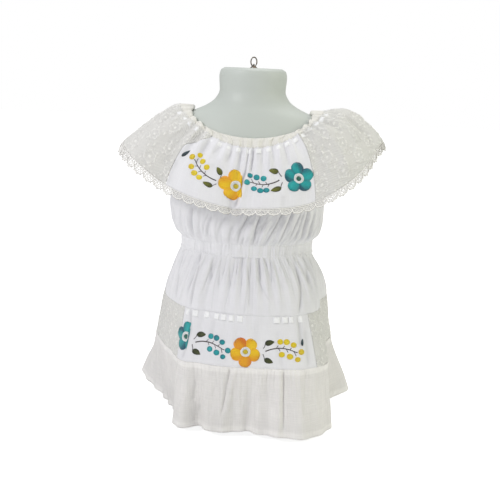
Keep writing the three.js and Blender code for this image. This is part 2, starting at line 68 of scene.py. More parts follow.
# How far a panel's edges are drawn in towards the middle of the front and back, in degrees.
PANEL_DRAW = table("along left right", [
    [0, 6, 3], [12, 8.5, 3.5], [36, 9.5, 6], [68, 11, 9.5], [96, 13.5, 12.5], [108, 14, 13.5],
])
NECK_GATHERING = table("along height", [[0, 1.1], [8, 1.1], [21, 1.7], [28, 1.6], [60, 0.3], [96, 0.2]])
BODICE = table("z front back left right gather", [
    [222, 62.8, 61.8, 82.4, 83.6, 0.9], [237, 63.6, 62.4, 82.8, 84.4, 0.9], [247, 69, 66, 90.5, 93, 2],
    [263, 72.5, 69, 96.5, 96, 1.9], [279, 74, 70, 98.5, 96.5, 1.5], [305, 73, 69, 96.5, 95.5, 0.4],
    [335, 66.4, 65, 96.4, 96.4, 0], [357, 61.2, 60.6, 96.2, 96.2, 0],
])
SKIRT_GATHERING = table("z waist flounce", [
    [8, 0, 2.5], [50, 0, 1.7], [91, 0, 0.6], [92, 0, 0], [156, 0.5, 0], [182, 1.5, 0], [200, 2.4, 0],
    [208, 2.4, 0], [222, 0.9, 0],
])
# The skirt's plan at the foot of each tier, by angle, and how far the hem lifts.
SKIRT = table("at ribbon seam hem lift", [
    [-180, 88, 101, 118, 6], [-160, 98, 114, 139, 8], [-142, 108, 126, 160, 12], [-127, 116, 133, 171, 16],
    [-113, 113, 126, 140, 14], [-96, 103, 110, 104, 8], [-80, 98.5, 101, 93, 4], [-66, 96, 98, 90, 2],
    [-52, 97, 104, 102, 0], [-39, 97, 112, 119, 0], [-29, 92, 107, 98, 1], [-18, 93, 106, 107, 0],
    [-7, 95, 105, 102, 0], [5, 97, 106, 98, 1], [15, 100, 109, 108, 0], [25, 104, 116, 124, 0],
    [37, 108, 126, 140, -1], [51, 110, 130, 139, 0], [64, 106, 122, 131, 2], [79, 97, 103, 104, 4],
    [94, 101, 104, 105, 6], [106, 114, 120, 143, 9], [117, 121, 134, 169, 10], [137, 110, 127, 161, 9],
    [157, 96, 112, 137, 7],
])
# The flounce's soft waves: troughs are negative. lean is how far a wave turns from top to hem.
FLOUNCE_WAVES = table("at lean width depth", [
    [-4, -3, 4.2, -6.5], [-24, -2, 9, 3], [-46, 0, 7, -4], [-66, 3, 9, 5], [-86, 2, 8, -5],
    [-106, 0, 10, 5], [-131, 0, 9, -5], [-154, 0, 10, 5], [-176, 0, 8, -5], [22, -2, 10, 3],
    [43, 0, 7, -3.5], [61, -2, 9, 5], [80, 0, 8, -5.5], [99, 2, 9, 5], [121, 0, 9, -5], [143, 0, 9, 5],
    [163, 0, 8, -4],
])
NECK_GATHERS, WAIST_GATHERS, HEM_GATHERS = 40, 44, 32
CASING_LENGTH, FLOUNCE_LENGTH = 12, 96
WAIST_TOP_Z, WAIST_BOTTOM_Z, BAND_Z, SEAM_Z, HEM_Z = 237, 222, 156, 92, 8
ARMHOLE_FROM, ARMHOLE_TO, ARMHOLE_Z, NECKLINE_RISE = 34, 84, 318, 10
SEAT_GAP, FLOUNCE_TURN, LIVELIEST = 0.4, -4, 1.52
SKIRT_PUFF_MIDDLE, SKIRT_PUFF_SIDE = 1.62, 0.2
SEAM_GAP = 0.3
HEM_TURNED = 8
CROWN_Z = 452.3  # the top of the form's closed neck
FLOUNCE_STRENGTH, SKIRT_STRENGTH, HEM_STRENGTH = 1.2, 1.35, 1.25  # of their creases

# Creases, one by one: each runs from (u0, v0) to (u1, v1), width is in degrees, and a trough's depth is
# negative. A sharpness of 1 is a pinched line and 2 a soft one.
CREASE_COLUMNS = "u0 v0 u1 v1 width depth sharpness"
FLOUNCE_CREASES = table(CREASE_COLUMNS, [
    [1.6, 12, 0.2, 52, 0.7, -1.5, 1.3],
    [3.4, 12, 2.0, 50, 1.0, 1.3, 2],
    [5.8, 13, 4.0, 46, 0.7, -1.3, 1.3],
    [-1.2, 14, -2.6, 40, 1.6, 0.7, 2],
    [-17, 22, -24, 50, 2.6, 0.9, 2],
    [-13, 20, -15, 38, 1.3, -0.6, 1.6],
    [-22, 18, -26, 34, 1.2, -0.6, 1.6],
    [-31.8, 20, -32.8, 57, 1.6, -0.6, 1.8],
    [-38, 16, -37, 40, 1.4, 0.6, 2],
    [-44, 60, -44, 97, 1.6, -0.8, 1.7],
    [0.3, 42, -5.4, 97, 0.9, -3.0, 1.3],
    [2.4, 46, -3.2, 97, 1.4, 1.5, 2],
    [9.6, 14, 9.0, 34, 1.0, -0.5, 1.7],
    [15, 15, 14, 40, 1.3, 0.5, 2],
    [19.5, 16, 17, 46, 1.0, -0.8, 1.6],
    [26, 16, 25, 36, 1.4, 0.5, 2],
    [31.2, 17, 31.8, 47, 1.1, -0.7, 1.6],
    [38, 18, 39, 52, 1.6, 0.6, 2],
    [14, 70, 13, 97, 2.2, 0.7, 2],
    [27, 78, 27.5, 97, 1.4, -0.6, 1.8],
])
LACE_CREASES = table(CREASE_COLUMNS, [
    [52, 14, 54, 60, 1.3, -1.0, 1.7],
    [58, 14, 61, 88, 2.0, 0.9, 2],
    [67, 16, 68, 50, 1.2, -0.9, 1.6],
    [74, 14, 74, 70, 1.8, 0.9, 2],
    [83, 14, 85, 96, 1.5, -1.2, 1.7],
    [93, 16, 94, 64, 1.6, 1.0, 2],
    [101, 14, 100, 44, 1.2, -0.8, 1.6],
    [110, 16, 108, 90, 1.8, 0.9, 2],
    [118, 14, 119, 58, 1.2, -0.9, 1.7],
    [127, 14, 127, 72, 1.7, 0.7, 2],
])
BODICE_CREASES = table(CREASE_COLUMNS, [
    [-45.5, 282, -45.5, 239, 1.1, -1.1, 1.3],
    [-38, 276, -41, 240, 1.5, 0.6, 2],
    [-31.5, 275, -35.5, 243, 0.9, -1.0, 1.3],
    [-28.6, 272, -31, 244, 0.8, -0.8, 1.3],
    [-19.5, 273, -23.5, 242, 1.0, -0.7, 1.4],
    [-13, 262, -15, 238, 0.8, -0.8, 1.3],
    [-5, 282, -8.5, 237, 1.0, -1.5, 1.2],
    [-1, 268, -2.5, 244, 1.6, 0.7, 2],
    [2.6, 284, 3.6, 238, 0.6, -1.5, 1.2],
    [8, 262, 7, 238, 0.7, -0.9, 1.3],
    [11.5, 272, 10, 240, 1.6, 0.8, 2],
    [20.5, 284, 14, 237, 0.7, -1.6, 1.2],
    [24, 270, 20, 240, 1.4, 0.7, 2],
    [29.4, 286, 25, 237, 0.6, -1.5, 1.2],
    [38, 280, 33, 238, 0.6, -1.2, 1.2],
    [41, 282, 39.5, 240, 0.8, -1.2, 1.2],
    [46, 284, 46.5, 240, 0.9, -1.3, 1.2],
    [56, 280, 55, 240, 1.1, -1.0, 1.4],
    [69, 282, 69.5, 240, 1.1, -1.1, 1.4],
    [-59, 280, -61, 238, 1.2, -1.0, 1.4],
    [-73, 278, -74, 240, 1.3, -0.9, 1.5],
])
SKIRT_CREASES = table(CREASE_COLUMNS, [
    [-46.5, 222, -41.5, 201, 0.8, -1.0, 1.3],
    [-41.5, 212, -39.2, 157, 0.8, -1.6, 1.3],
    [-36, 216, -35, 157, 2.4, 1.2, 2],
    [-33.0, 222, -28.5, 192, 0.9, -1.0, 1.4],
    [-25.0, 222, -21.0, 184, 0.9, -0.8, 1.4],
    [-17.2, 222, -12.0, 185, 0.8, -0.7, 1.5],
    [-10, 222, -8, 200, 0.8, -0.6, 1.5],
    [-4.8, 222, -4.0, 209, 0.7, -0.8, 1.4],
    [0.2, 212, 2.8, 192, 0.8, -0.8, 1.4],
    [2.8, 196, 2.5, 166, 0.8, -0.8, 1.5],
    [8.5, 202, 17.5, 173, 0.9, -0.7, 1.5],
    [13.8, 222, 11.5, 195, 0.8, -1.4, 1.2],
    [18.5, 222, 20.5, 211, 0.7, -0.9, 1.3],
    [25.2, 222, 21.2, 194, 0.8, -1.4, 1.2],
    [35, 222, 31.5, 205, 0.8, -0.8, 1.4],
    [43.8, 222, 39.0, 207, 0.8, -0.8, 1.4],
    [50.5, 222, 47.5, 212, 0.9, -1.1, 1.3],
    [48, 214, 37.5, 157, 1.0, -1.9, 1.3],
    [62, 221, 52, 190, 1.2, -1.2, 1.5],
    [-72, 214, -60, 160, 1.6, -1.2, 1.6],
    [74, 221, 70, 176, 1.3, -1.1, 1.5],
])
BAND_CREASES = table(CREASE_COLUMNS, [
    [-39.2, 156, -35.6, 128, 0.9, -1.6, 1.3],
    [-35.6, 132, -38.5, 93, 1.2, -1.3, 1.5],
    [-21, 150, -22, 112, 1.8, -0.5, 2],
    [-8, 146, -9, 96, 2.2, 0.5, 2],
    [7.5, 150, 8.5, 100, 2.0, -0.5, 2],
    [22, 140, 24, 93, 1.6, -0.5, 2],
    [37.5, 156, 36.6, 116, 1.2, -1.8, 1.4],
    [41, 140, 40, 93, 1.4, -1.0, 1.6],
])
HEM_CREASES = table(CREASE_COLUMNS, [
    [-8.2, 92, -12.8, 26, 0.8, -2.2, 1.2],
    [-5.4, 92, -9.6, 30, 1.4, 1.1, 2],
    [25.4, 92, 24.8, 9, 0.7, -2.4, 1.2],
    [23.0, 92, 22.6, 10, 1.1, 1.2, 2],
    [9.2, 54, 10.2, 10, 0.6, -1.3, 1.2],
    [-29.2, 70, -31, 40, 0.8, -1.1, 1.3],
    [-17, 68, -19.8, 22, 1.0, -1.0, 1.4],
    [-24.8, 68, -28, 26, 0.8, -0.9, 1.4],
    [0, 86, 0, 40, 0.8, -0.7, 1.5],
    [37.2, 90, 35.5, 34, 1.0, -1.1, 1.5],
    [-41.5, 92, -65.8, 40, 1.4, -1.3, 1.6],
    [16, 88, 16.5, 52, 0.9, -0.5, 1.7],
    [45, 84, 46, 24, 1.2, -0.9, 1.6],
    [57, 90, 58, 30, 1.3, -1.1, 1.6],
    [72, 90, 76, 20, 1.2, -1.2, 1.5],
    [-74, 84, -80, 22, 1.2, -1.1, 1.5],
    [-53, 70, -55, 16, 1.1, -0.8, 1.6],
])


# ---- Curves ----
def mix(a, b, share):
    return a + (b - a) * share


def smoothstep(low, high, x):
    share = np.clip((x - low) / (high - low), 0, 1)
    return share * share * (3 - 2 * share)


def sin(degrees):
    return np.sin(np.radians(degrees))


def cos(degrees):
    return np.cos(np.radians(degrees))


def through(xs, ys, x):
    """A smooth curve through points: cubic pieces whose slopes are the harmonic means of their chords."""
    chord = np.diff(ys) / np.diff(xs)
    both = chord[:-1] * chord[1:]
    mean = np.where(both > 0, 2 * both / np.where(both > 0, chord[:-1] + chord[1:], 1), 0)
    slope = np.concatenate([chord[:1], mean, chord[-1:]])
    x = np.clip(x, xs[0], xs[-1])
    i = np.clip(np.searchsorted(xs, x, "right") - 1, 0, len(xs) - 2)
    width = xs[i + 1] - xs[i]
    t = (x - xs[i]) / width
    rise = (1 + 2 * t) * (1 - t) ** 2 * ys[i] + t * t * (3 - 2 * t) * ys[i + 1]
    return rise + width * (t * (1 - t) ** 2 * slope[i] - t * t * (1 - t) * slope[i + 1])


def column(rows, key, name, x):
    """The smooth curve through one column of a table."""
    return through(rows[key], rows[name], x)


def column_round(name, angle):
    """The smooth closed curve through one column of the skirt's table of angles."""
    at, ys = SKIRT["at"], SKIRT[name]
    xs = np.concatenate([at[-3:] - 360, at, at[:3] + 360])
    ys = np.concatenate([ys[-3:], ys, ys[:3]])
    return through(xs, ys, (angle + 180) % 360 - 180)


def noise(x, y, seed, around=64):
    """Smooth noise from -1 to 1: seeded heights at whole numbers, blended between them. x repeats every
    `around` cells, so that it closes round the body."""
    heights = np.random.default_rng(seed).uniform(-1, 1, (around, 64))
    x0, y0 = np.floor(x).astype(int), np.floor(y).astype(int)
    tx, ty = x - x0, y - y0
    tx, ty = tx * tx * (3 - 2 * tx), ty * ty * (3 - 2 * ty)
    at = lambda i, j: heights[i % around, j % 64]
    near = mix(at(x0, y0), at(x0 + 1, y0), tx)
    return mix(near, mix(at(x0, y0 + 1), at(x0 + 1, y0 + 1), tx), ty)


def uneven(u):
    """Spaces the gathers unevenly: the angle at which the cloth's station u lies."""
    return u + 2.1 * sin(2 * u + 35) + 0.8 * sin(5 * u + 110)


def liveliness(u):
    """Some gathers stand higher than others."""
    return 1 + 0.3 * sin(7 * u + 20) + 0.22 * sin(11 * u + 200)


# ---- The surfaces: a smooth base, and how far the folds stand out of it ----
def form_point(angle, z):
    """An oval at each height: half-widths and depths come from the form's sections."""
    side = column(FORM, "z", "side", z)
    depth = np.where(cos(angle) > 0, column(FORM, "z", "front", z), column(FORM, "z", "back", z))
    return np.stack([side * sin(angle), -depth * cos(angle), z + 0 * angle], -1)


def flounce_base(u, along):
    """Rings of four quarter ovals, whose heights go from the front's to the side's by a power of the sine.
    Above the gathering seam the cloth blends onto the form's shoulders."""
    ring = lambda name: column(FLOUNCE, "along", name, along)
    draw = np.where(sin(u) < 0, column(PANEL_DRAW, "along", "left", along),
                    column(PANEL_DRAW, "along", "right", along))
    angle = uneven(u) + FLOUNCE_TURN - draw * sin(2 * u)
    across, ahead = sin(angle), cos(angle)
    pick = lambda test, one, other: np.where(test, ring(one), ring(other))
    depth, end_z = pick(ahead > 0, "front", "back"), pick(ahead > 0, "front_z", "back_z")
    side, side_z = pick(across > 0, "right", "left"), pick(across > 0, "right_z", "left_z")
    z = mix(end_z, side_z, np.abs(across) ** pick(across > 0, "right_droop", "left_droop"))
    free = np.stack([side * across, -depth * ahead, z], -1)
    seat = form_point(angle, z)
    out = seat[..., :2] / np.linalg.norm(seat[..., :2], axis=-1, keepdims=True)
    stand = SEAT_GAP + NECK_GATHERING["height"][0] * LIVELIEST
    seat = seat + stand * np.stack([out[..., 0], out[..., 1], across**2], -1)
    return mix(seat, free, smoothstep(0, CASING_LENGTH, along + 0 * u)[..., None])


def bodice_base(u, z):
    """Level rings of four quarter ovals. The stations lean towards +X as they rise."""
    lean = 11 * smoothstep(WAIST_TOP_Z, ARMHOLE_Z, z)
    angle = uneven(u) + lean * cos(u)
    ring = lambda name: column(BODICE, "z", name, z)
    side = np.where(sin(angle) > 0, ring("right"), ring("left"))
    depth = np.where(cos(angle) > 0, ring("front"), ring("back"))
    return np.stack([side * sin(angle), -depth * cos(angle), z + 0 * u], -1)


def skirt_base(u, z):
    """Each tier swings out from the plan at its top to the plan at its foot, and the hem lifts by angle."""
    angle = uneven(u)
    waist = bodice_base(u, WAIST_BOTTOM_Z + 0 * u)
    top = np.hypot(waist[..., 0], waist[..., 1])
    ribbon, seam, hem, lift = (column_round(name, angle) for name in ("ribbon", "seam", "hem", "lift"))
    fallen = np.clip((WAIST_BOTTOM_Z - 1 - z) / (WAIST_BOTTOM_Z - 1 - BAND_Z), 0, 1)
    puffed = SKIRT_PUFF_MIDDLE + SKIRT_PUFF_SIDE * sin(angle)
    upper = mix(top, ribbon, 1 - (1 - fallen) ** puffed)
    middle = mix(ribbon, seam, (BAND_Z - z) / (BAND_Z - SEAM_Z))
    fall = (SEAM_Z - z) / (SEAM_Z - HEM_Z)
    lower = mix(seam, hem, mix(fall, smoothstep(0, 1, fall), 0.4))
    reach = np.where(z >= BAND_Z, upper, np.where(z >= SEAM_Z, middle, lower))
    low = (WAIST_BOTTOM_Z - z) / (WAIST_BOTTOM_Z - HEM_Z)
    return np.stack([reach * sin(angle), -reach * cos(angle), z + lift * low * low], -1)


def creases(rows, u, v):
    """The sum of listed creases: depth * exp(-(distance / width) ** sharpness), where distance is
    taken across the crease's line in degrees, fading over a fifth of its length at each end."""
    total = np.zeros(np.broadcast(u, v).shape)
    for u0, v0, u1, v1, width, depth, sharpness in zip(*(rows[name] for name in CREASE_COLUMNS.split())):
        share = (v - v0) / (v1 - v0)
        away = np.abs((u - mix(u0, u1, share) + 180) % 360 - 180)
        fade = smoothstep(-0.04, 0.16, share) * smoothstep(1.04, 0.8, share)
        rounded = np.sqrt((away / width) ** 2 + 0.02) - 0.1414
        total = total + depth * fade * np.exp(-(rounded**sharpness))
    return total


def turned(rows, by, mirrored=False, stretch=1.0):
    """The same creases moved round the body by some degrees, for a side that has similar ones: mirrored
    or not, and spread or drawn together."""
    flip = -1 if mirrored else 1
    moved = dict(rows)
    for name in ("u0", "u1"):
        moved[name] = flip * rows[name] * stretch + by
    return moved


def joined(*tables):
    """Several tables with the same columns as one."""
    return {name: np.concatenate([rows[name] for rows in tables]) for name in tables[0]}


def scattered(seed, count, span, starts, lengths, widths, depths, lean):
    """Pinched lines spread over a span of angles from a seam, each with its own length, width and depth."""
    random = np.random.default_rng(seed)
    u0 = span[0] + (np.arange(count) + random.uniform(0, 1, count)) * (span[1] - span[0]) / count
    v0, run = random.uniform(*starts, count), random.uniform(*lengths, count)
    u1 = u0 + (lean + random.uniform(-2.5, 2.5, count)) * np.abs(run) / 40
    return {"u0": u0, "v0": v0, "u1": u1, "v1": v0 + run, "width": random.uniform(*widths, count),
            "depth": random.uniform(*depths, count), "sharpness": np.full(count, 1.2)}


def gather_wave(count, u):
    """The solids' own gathers: cos(count * u), livelier in some places."""
    return cos(count * u) * liveliness(u)


def fine_gathers(u, v, count, seed, drift):
    """Narrow gathers of uneven pitch, height and lean: cos(count * u + phase) * height, where the phase and
    the height are noise that changes slowly down the cloth."""
    along = v / drift
    phase = 150 * noise(u * count / 1080, along, seed, round(count / 3))
    height = 0.62 + 0.38 * noise(u * count / 720, along * 0.7, seed + 1, round(count / 2))
    return cos(count * u + phase) * height


def crinkle(u, v, seed, pitch=1.0):
    """Soft unevenness of worn cotton, longer down the cloth than across it: three sizes of noise added."""
    wide = 0.34 * noise(u / 6 / pitch, v / 42, seed, round(60 / pitch))
    middle = 0.16 * noise(u / 2.5 / pitch, v / 19, seed + 1, round(144 / pitch))
    return wide + middle + 0.05 * noise(u / pitch, v / 6, seed + 2, round(360 / pitch))


ALL_FLOUNCE_CREASES = joined(FLOUNCE_CREASES, turned(FLOUNCE_CREASES, 180, True), LACE_CREASES,
                             turned(LACE_CREASES, 0, True), turned(LACE_CREASES, 2.5, False, 0.97))
ALL_BODICE_CREASES = joined(
    BODICE_CREASES, turned(BODICE_CREASES, 180),
    scattered(81, 34, (-15, 80), (236, 244), (12, 46), (0.3, 0.5), (-0.75, -0.25), 7),
    scattered(83, 80, (80, 345), (236, 246), (12, 38), (0.35, 0.6), (-0.6, -0.2), 1))
ALL_SKIRT_CREASES = joined(
    SKIRT_CREASES, turned(SKIRT_CREASES, 180, True),
    scattered(82, 130, (0, 360), (219, 224), (-74, -12), (0.3, 0.5), (-0.7, -0.2), -2))
ALL_BAND_CREASES = joined(BAND_CREASES, turned(BAND_CREASES, 180), turned(BAND_CREASES, 90, True, 0.9),
                          turned(BAND_CREASES, -90, False, 0.9))
ALL_HEM_CREASES = joined(HEM_CREASES, turned(HEM_CREASES, 180, True, 1.05))


def flounce_fold(u, along):
    """Neck gathers, soft waves, listed creases, then fine gathers that die away below the seam."""
    gather = column(NECK_GATHERING, "along", "height", along) * gather_wave(NECK_GATHERS, u)
    share = smoothstep(CASING_LENGTH, FLOUNCE_LENGTH, along)
    wave = 0
    for at, lean, width, depth in zip(*(FLOUNCE_WAVES[name] for name in ("at", "lean", "width", "depth"))):
        away = (u - at - lean * share + 180) % 360 - 180
        wave = wave + depth * np.exp(-((away / width) ** 2))
    folds = gather + wave * (0.25 * smoothstep(CASING_LENGTH, 2 * CASING_LENGTH, along) + 0.75 * share)
    tight = smoothstep(46, 14, along + 9 * noise(u / 3, 0 * u, 31, 120))
    fine = fine_gathers(u, along, 96, 41, 40) * mix(0.10, 0.42, tight) * smoothstep(104, 90, along)
    sharp = FLOUNCE_STRENGTH * creases(ALL_FLOUNCE_CREASES, u, along)
    return folds + fine + sharp + 1.4 * crinkle(u, along, 51)


def bodice_fold(u, z):
    """Waist gathers, fine gathers that are tightest above the waist, creases, and crinkle over the casing."""
    gather = column(BODICE, "z", "gather", z) * gather_wave(WAIST_GATHERS, u)
    tight = smoothstep(266, 240, z + 12 * noise(u / 2.5, 0 * u, 32, 144))
    fine = fine_gathers(u, z, 132, 42, 26) * mix(0.1, 0.5, tight)
    sharp = mix(1.2, 2.5, smoothstep(239, 256, z)) * creases(ALL_BODICE_CREASES, u, z)
    return 0.5 * gather + fine + sharp + 1.4 * crinkle(u, z, 52) * smoothstep(237, 246, z)


def skirt_fold(u, z):
    """The gathers of waist and bottom flounce, then fine gathers and creases, each kept to its own tier."""
    height = lambda name: column(SKIRT_GATHERING, "z", name, z)
    gather = (height("waist") * gather_wave(WAIST_GATHERS, u)
              + height("flounce") * gather_wave(HEM_GATHERS, u))
    tight = smoothstep(176, 216, z + 16 * noise(u / 2.5, 0 * u, 33, 144))
    fine = fine_gathers(u, z, 132, 43, 34) * mix(0.1, 0.36, tight) * smoothstep(158, 176, z)
    upper = SKIRT_STRENGTH * creases(ALL_SKIRT_CREASES, u, z) * smoothstep(150, 160, z)
    band = creases(ALL_BAND_CREASES, u, z) * smoothstep(90, 96, z) * smoothstep(157, 153, z)
    below = smoothstep(94, 91, z)
    tucks = fine_gathers(u, z, 150, 44, 48) * mix(0.12, 0.4, smoothstep(38, 86, z)) * below
    lower = HEM_STRENGTH * creases(ALL_HEM_CREASES, u, z) * below
    return 0.55 * gather + fine + upper + band + tucks + lower + 1.3 * crinkle(u, z, 53)


def surface(base, fold, downwards, steady=0.0):
    """A point at a distance out of the wall's inner face, along the base's own normal. downwards is 1 where
    v grows down the cloth and -1 where v is a height. Below the steady level the normal is that level's."""
    def point(u, v, out=0.0):
        u, v = np.broadcast_arrays(np.asarray(u, float), np.asarray(v, float))
        step, level = 0.05, np.maximum(v, steady)
        across = base(u + step, level) - base(u - step, level)
        down = (base(u, level + step) - base(u, level - step)) * downwards
        normal = np.cross(down, across)
        normal /= np.linalg.norm(normal, axis=-1, keepdims=True)
        return base(u, v) + normal * (fold(u, v) + out)[..., None]
    return point


flounce = surface(flounce_base, flounce_fold, 1, 3.5)
bodice = surface(bodice_base, bodice_fold, -1)
skirt = surface(skirt_base, skirt_fold, -1)


def bodice_top(u):
    """The bodice's top edge follows the neckline casing at front and back, and drops under each arm."""
    away = np.abs((u + 180) % 360 - 180)
    from_middle = np.where(away > 90, 180 - away, away)
    sewn = np.where(away > 90, 362.0, 357.0) - 1.8
    neckline = sewn + NECKLINE_RISE * sin(from_middle) ** 2
    return mix(neckline, ARMHOLE_Z, smoothstep(ARMHOLE_FROM, ARMHOLE_TO, from_middle))


# ---- Meshes ----
def walk(line):
    """The millimetres walked to each point of a line."""
    return np.concatenate([[0], np.cumsum(np.linalg.norm(np.diff(line, axis=0), axis=-1))])


def grid_faces(columns, rows, closed=False):
    """Quads of a grid whose points run down each column in turn, facing out where columns run round +u."""
    at = np.arange(columns * rows).reshape(columns, rows)
    if closed:
        at = np.vstack([at, at[:1]])
    return np.stack([at[:-1, :-1], at[:-1, 1:], at[1:, 1:], at[1:, :-1]], -1).reshape(-1, 4)


def capped_faces(columns, rows, upwards=False):
    """A closed grid's faces, and a fan to each of two poles, whose points come after the grid's. They are
    turned over where the grid's columns run upwards."""
    ring = np.arange(columns)
    after = (ring + 1) % columns
    pole = np.full(columns, columns * rows)
    faces = [grid_faces(columns, rows, True), np.stack([pole, ring * rows, after * rows], -1),
             np.stack([pole + 1, after * rows + rows - 1, ring * rows + rows - 1], -1)]
    return [kind[:, ::-1] for kind in faces] if upwards else faces


def many_faces(faces, count, size):
    """The same faces for each of `count` copies with `size` points each."""
    return (faces[None] + (np.arange(count) * size)[:, None, None]).reshape(-1, faces.shape[1])


def add_piece(name, points, faces, material, replaced=(), slot=None, uv=None, colour=None):
    """Makes a mesh object from millimetre points and arrays of faces, and rides it on the frame."""
    kinds = faces if isinstance(faces, list) else [faces]
    points = np.ascontiguousarray(points, dtype=np.float32).reshape(-1, 3) * MM
    corners = np.concatenate([kind.ravel() for kind in kinds])
    sizes = np.concatenate([np.full(len(kind), kind.shape[1]) for kind in kinds])
    mesh = bpy.data.meshes.new(name)
    mesh.vertices.add(len(points))
    mesh.vertices.foreach_set("co", points.ravel())
    mesh.loops.add(len(corners))
    mesh.loops.foreach_set("vertex_index", corners.astype(np.int32))
    mesh.polygons.add(len(sizes))
    mesh.polygons.foreach_set("loop_start", (np.cumsum(sizes) - sizes).astype(np.int32))
    mesh.update(calc_edges=True)
    mesh.shade_smooth()
    if uv is not None:
        layer = mesh.uv_layers.new(name="cloth")
        layer.data.foreach_set("uv", np.asarray(uv, np.float32).reshape(-1, 2)[corners].ravel())
    if colour is not None:
        attribute = mesh.attributes.new("thread", "FLOAT_COLOR", "POINT")
        rgba = np.concatenate([colour, np.ones_like(colour[..., :1])], -1)
        attribute.data.foreach_set("color", rgba.astype(np.float32).ravel())
    mesh.materials.append(material)
    piece = bpy.data.objects.new(name, mesh)
    bpy.context.scene.collection.objects.link(piece)
    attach(piece, "root")
    if replaced:
        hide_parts(*replaced)
    return piece


def thicken(piece, millimetres):
    """Gives a shell its cloth thickness, half to each side."""
    wall = piece.modifiers.new("cloth", "SOLIDIFY")
    wall.thickness = millimetres * MM
    wall.offset = 0
    return piece


def cloth_lengths(points):
    """The cloth's own coordinates in metres: mean length across at each column, and down at each row."""
    across = np.linalg.norm(np.diff(points, axis=0), axis=-1).mean(1)
    down = np.linalg.norm(np.diff(points, axis=1), axis=-1).mean(0)
    return np.concatenate([[0], np.cumsum(across)]), np.concatenate([[0], np.cumsum(down)])


cloth, measured = {}, {}


def cloth_panel(name, point, angles, levels, fabric_kind, spacing, relief, drift=None, lines=None,
                closed=False):
    """A thin shell on a surface: columns between two angles and rows between two levels, of which the top
    may be a function of u. Its middle stands out of the solid wall's inner face by its kind's distance plus
    its relief, and a drift moves its places round by some degrees. The colour attribute is 1 on thick
    places, and lower in the pinched lines of its crease table, where it paints the shade that falls in them."""
    material, slot, thickness, stand = fabric_kind
    top_at = lambda u: levels[0](u) if callable(levels[0]) else levels[0] + 0 * u
    rough_u = np.linspace(*angles, 200)
    width = walk(point(rough_u, levels[1]))[-1]
    height = np.abs(top_at(rough_u) - levels[1]).max()
    columns, rows = int(width / spacing[0]) + 2, int(height / spacing[1]) + 2
    us = np.linspace(*angles, columns, endpoint=not closed)
    v = mix(top_at(us)[:, None], levels[1], np.linspace(0, 1, rows)[None])
    u = us[:, None] + (drift(us[:, None], v) if drift else 0 * v)
    raised = stand + relief(u, v)
    points = point(u, v, raised)
    x, y = cloth_lengths(points)
    uv = np.stack(np.meshgrid(x * MM, -y * MM, indexing="ij"), -1)
    faces = grid_faces(columns, rows, closed)
    # painted shade: the colour attribute drops in the pinched lines, so the cloth is painted darker in its
    # creases
    painted_crease_shade = np.clip(-creases(lines, u, v) / 1.4, 0, 1) if lines else 0.0
    layers = np.clip((raised - stand) / 0.55, 0, 1) if material is not COTTON else 1.0
    thread = np.repeat((layers * (1 - painted_crease_shade) + 0 * u)[..., None], 3, -1)
    piece = add_piece(name + "_cloth", points, faces, material, (name,), slot, uv, thread)
    cloth[name] = thicken(piece, thickness)
    measured[name] = round(x[-1], 1), round(y[-1], 1)


# ---- Shader nodes ----
def node(tree, kind, inputs=None, **settings):
    """Adds a node: settings are its own properties, and an input is a value or another node's socket."""
    made = tree.nodes.new(kind)
    for key, value in settings.items():
        setattr(made, key, value)
    for key, value in (inputs or {}).items():
        if isinstance(value, bpy.types.NodeSocket):
            tree.links.new(value, made.inputs[key])
        else:
            made.inputs[key].default_value = value
    return made


def math(tree, operation, *values):
    """A math node's result on values or sockets."""
    return node(tree, "ShaderNodeMath", dict(enumerate(values)), operation=operation).outputs[0]


def blend(tree, factor, one, other):
    """A colour that goes from one to the other as the factor goes from 0 to 1."""
    made = node(tree, "ShaderNodeMix", {"Factor": factor}, data_type="RGBA")
    for socket, value in ((made.inputs[6], one), (made.inputs[7], other)):
        if isinstance(value, bpy.types.NodeSocket):
            tree.links.new(value, socket)
        else:
            socket.default_value = (*value, 1)
    return made.outputs[2]


def spread(tree, value, *limits):
    """Maps a value from the first two limits to the last two, and holds it between them."""
    return node(tree, "ShaderNodeMapRange", {0: value, **dict(enumerate(limits, 1))}).outputs[0]


def scaled(tree, colour, factor):
    """A colour or vector times a factor."""
    return node(tree, "ShaderNodeVectorMath", {0: colour, 1: factor}, operation="MULTIPLY").outputs[0]


def stretched(tree, vector, scale):
    """Coordinates scaled by axis: a pattern grows longer along an axis with a small scale."""
    return node(tree, "ShaderNodeMapping", {"Vector": vector, "Scale": scale}).outputs[0]


def attribute(tree, output):
    """The colour attribute that every cloth and thread piece carries; on the cotton's creases and the
    crochet's cords it holds painted shade.
    """
    return node(tree, "ShaderNodeAttribute", attribute_name="thread").outputs[output]


def slow_tone(tree, given):
    """The slow tone's mask on a material's object coordinates."""
    return node(tree, "ShaderNodeGroup", {"Vector": given["Object"]}, node_tree=TONE).outputs[0]


def noise_texture(tree, vector, scale, detail=2.0, roughness=0.5):
    """Fractal noise from 0 to 1."""
    inputs = {"Vector": vector, "Scale": scale, "Detail": detail, "Roughness": roughness}
    return node(tree, "ShaderNodeTexNoise", inputs).outputs["Fac"]


def wave_texture(tree, vector, direction, scale, distortion):
    """Sine bands from 0 to 1 across one direction."""
    inputs = {"Vector": vector, "Scale": scale, "Distortion": distortion, "Detail": 1.0,
              "Detail Scale": 1.5}
    made = node(tree, "ShaderNodeTexWave", inputs, wave_type="BANDS", bands_direction=direction,
                wave_profile="SIN")
    return made.outputs["Fac"]


def shader_group(name, inputs, outputs):
    """An empty shader node group with named sockets, and its input and output nodes."""
    tree = bpy.data.node_groups.new(name, "ShaderNodeTree")
    for socket, kind, default in inputs:
        made = tree.interface.new_socket(socket, in_out="INPUT", socket_type=kind)
        if default is not None:
            made.default_value = default
    for socket, kind in outputs:
        tree.interface.new_socket(socket, in_out="OUTPUT", socket_type=kind)
    return tree, tree.nodes.new("NodeGroupInput").outputs, tree.nodes.new("NodeGroupOutput").inputs


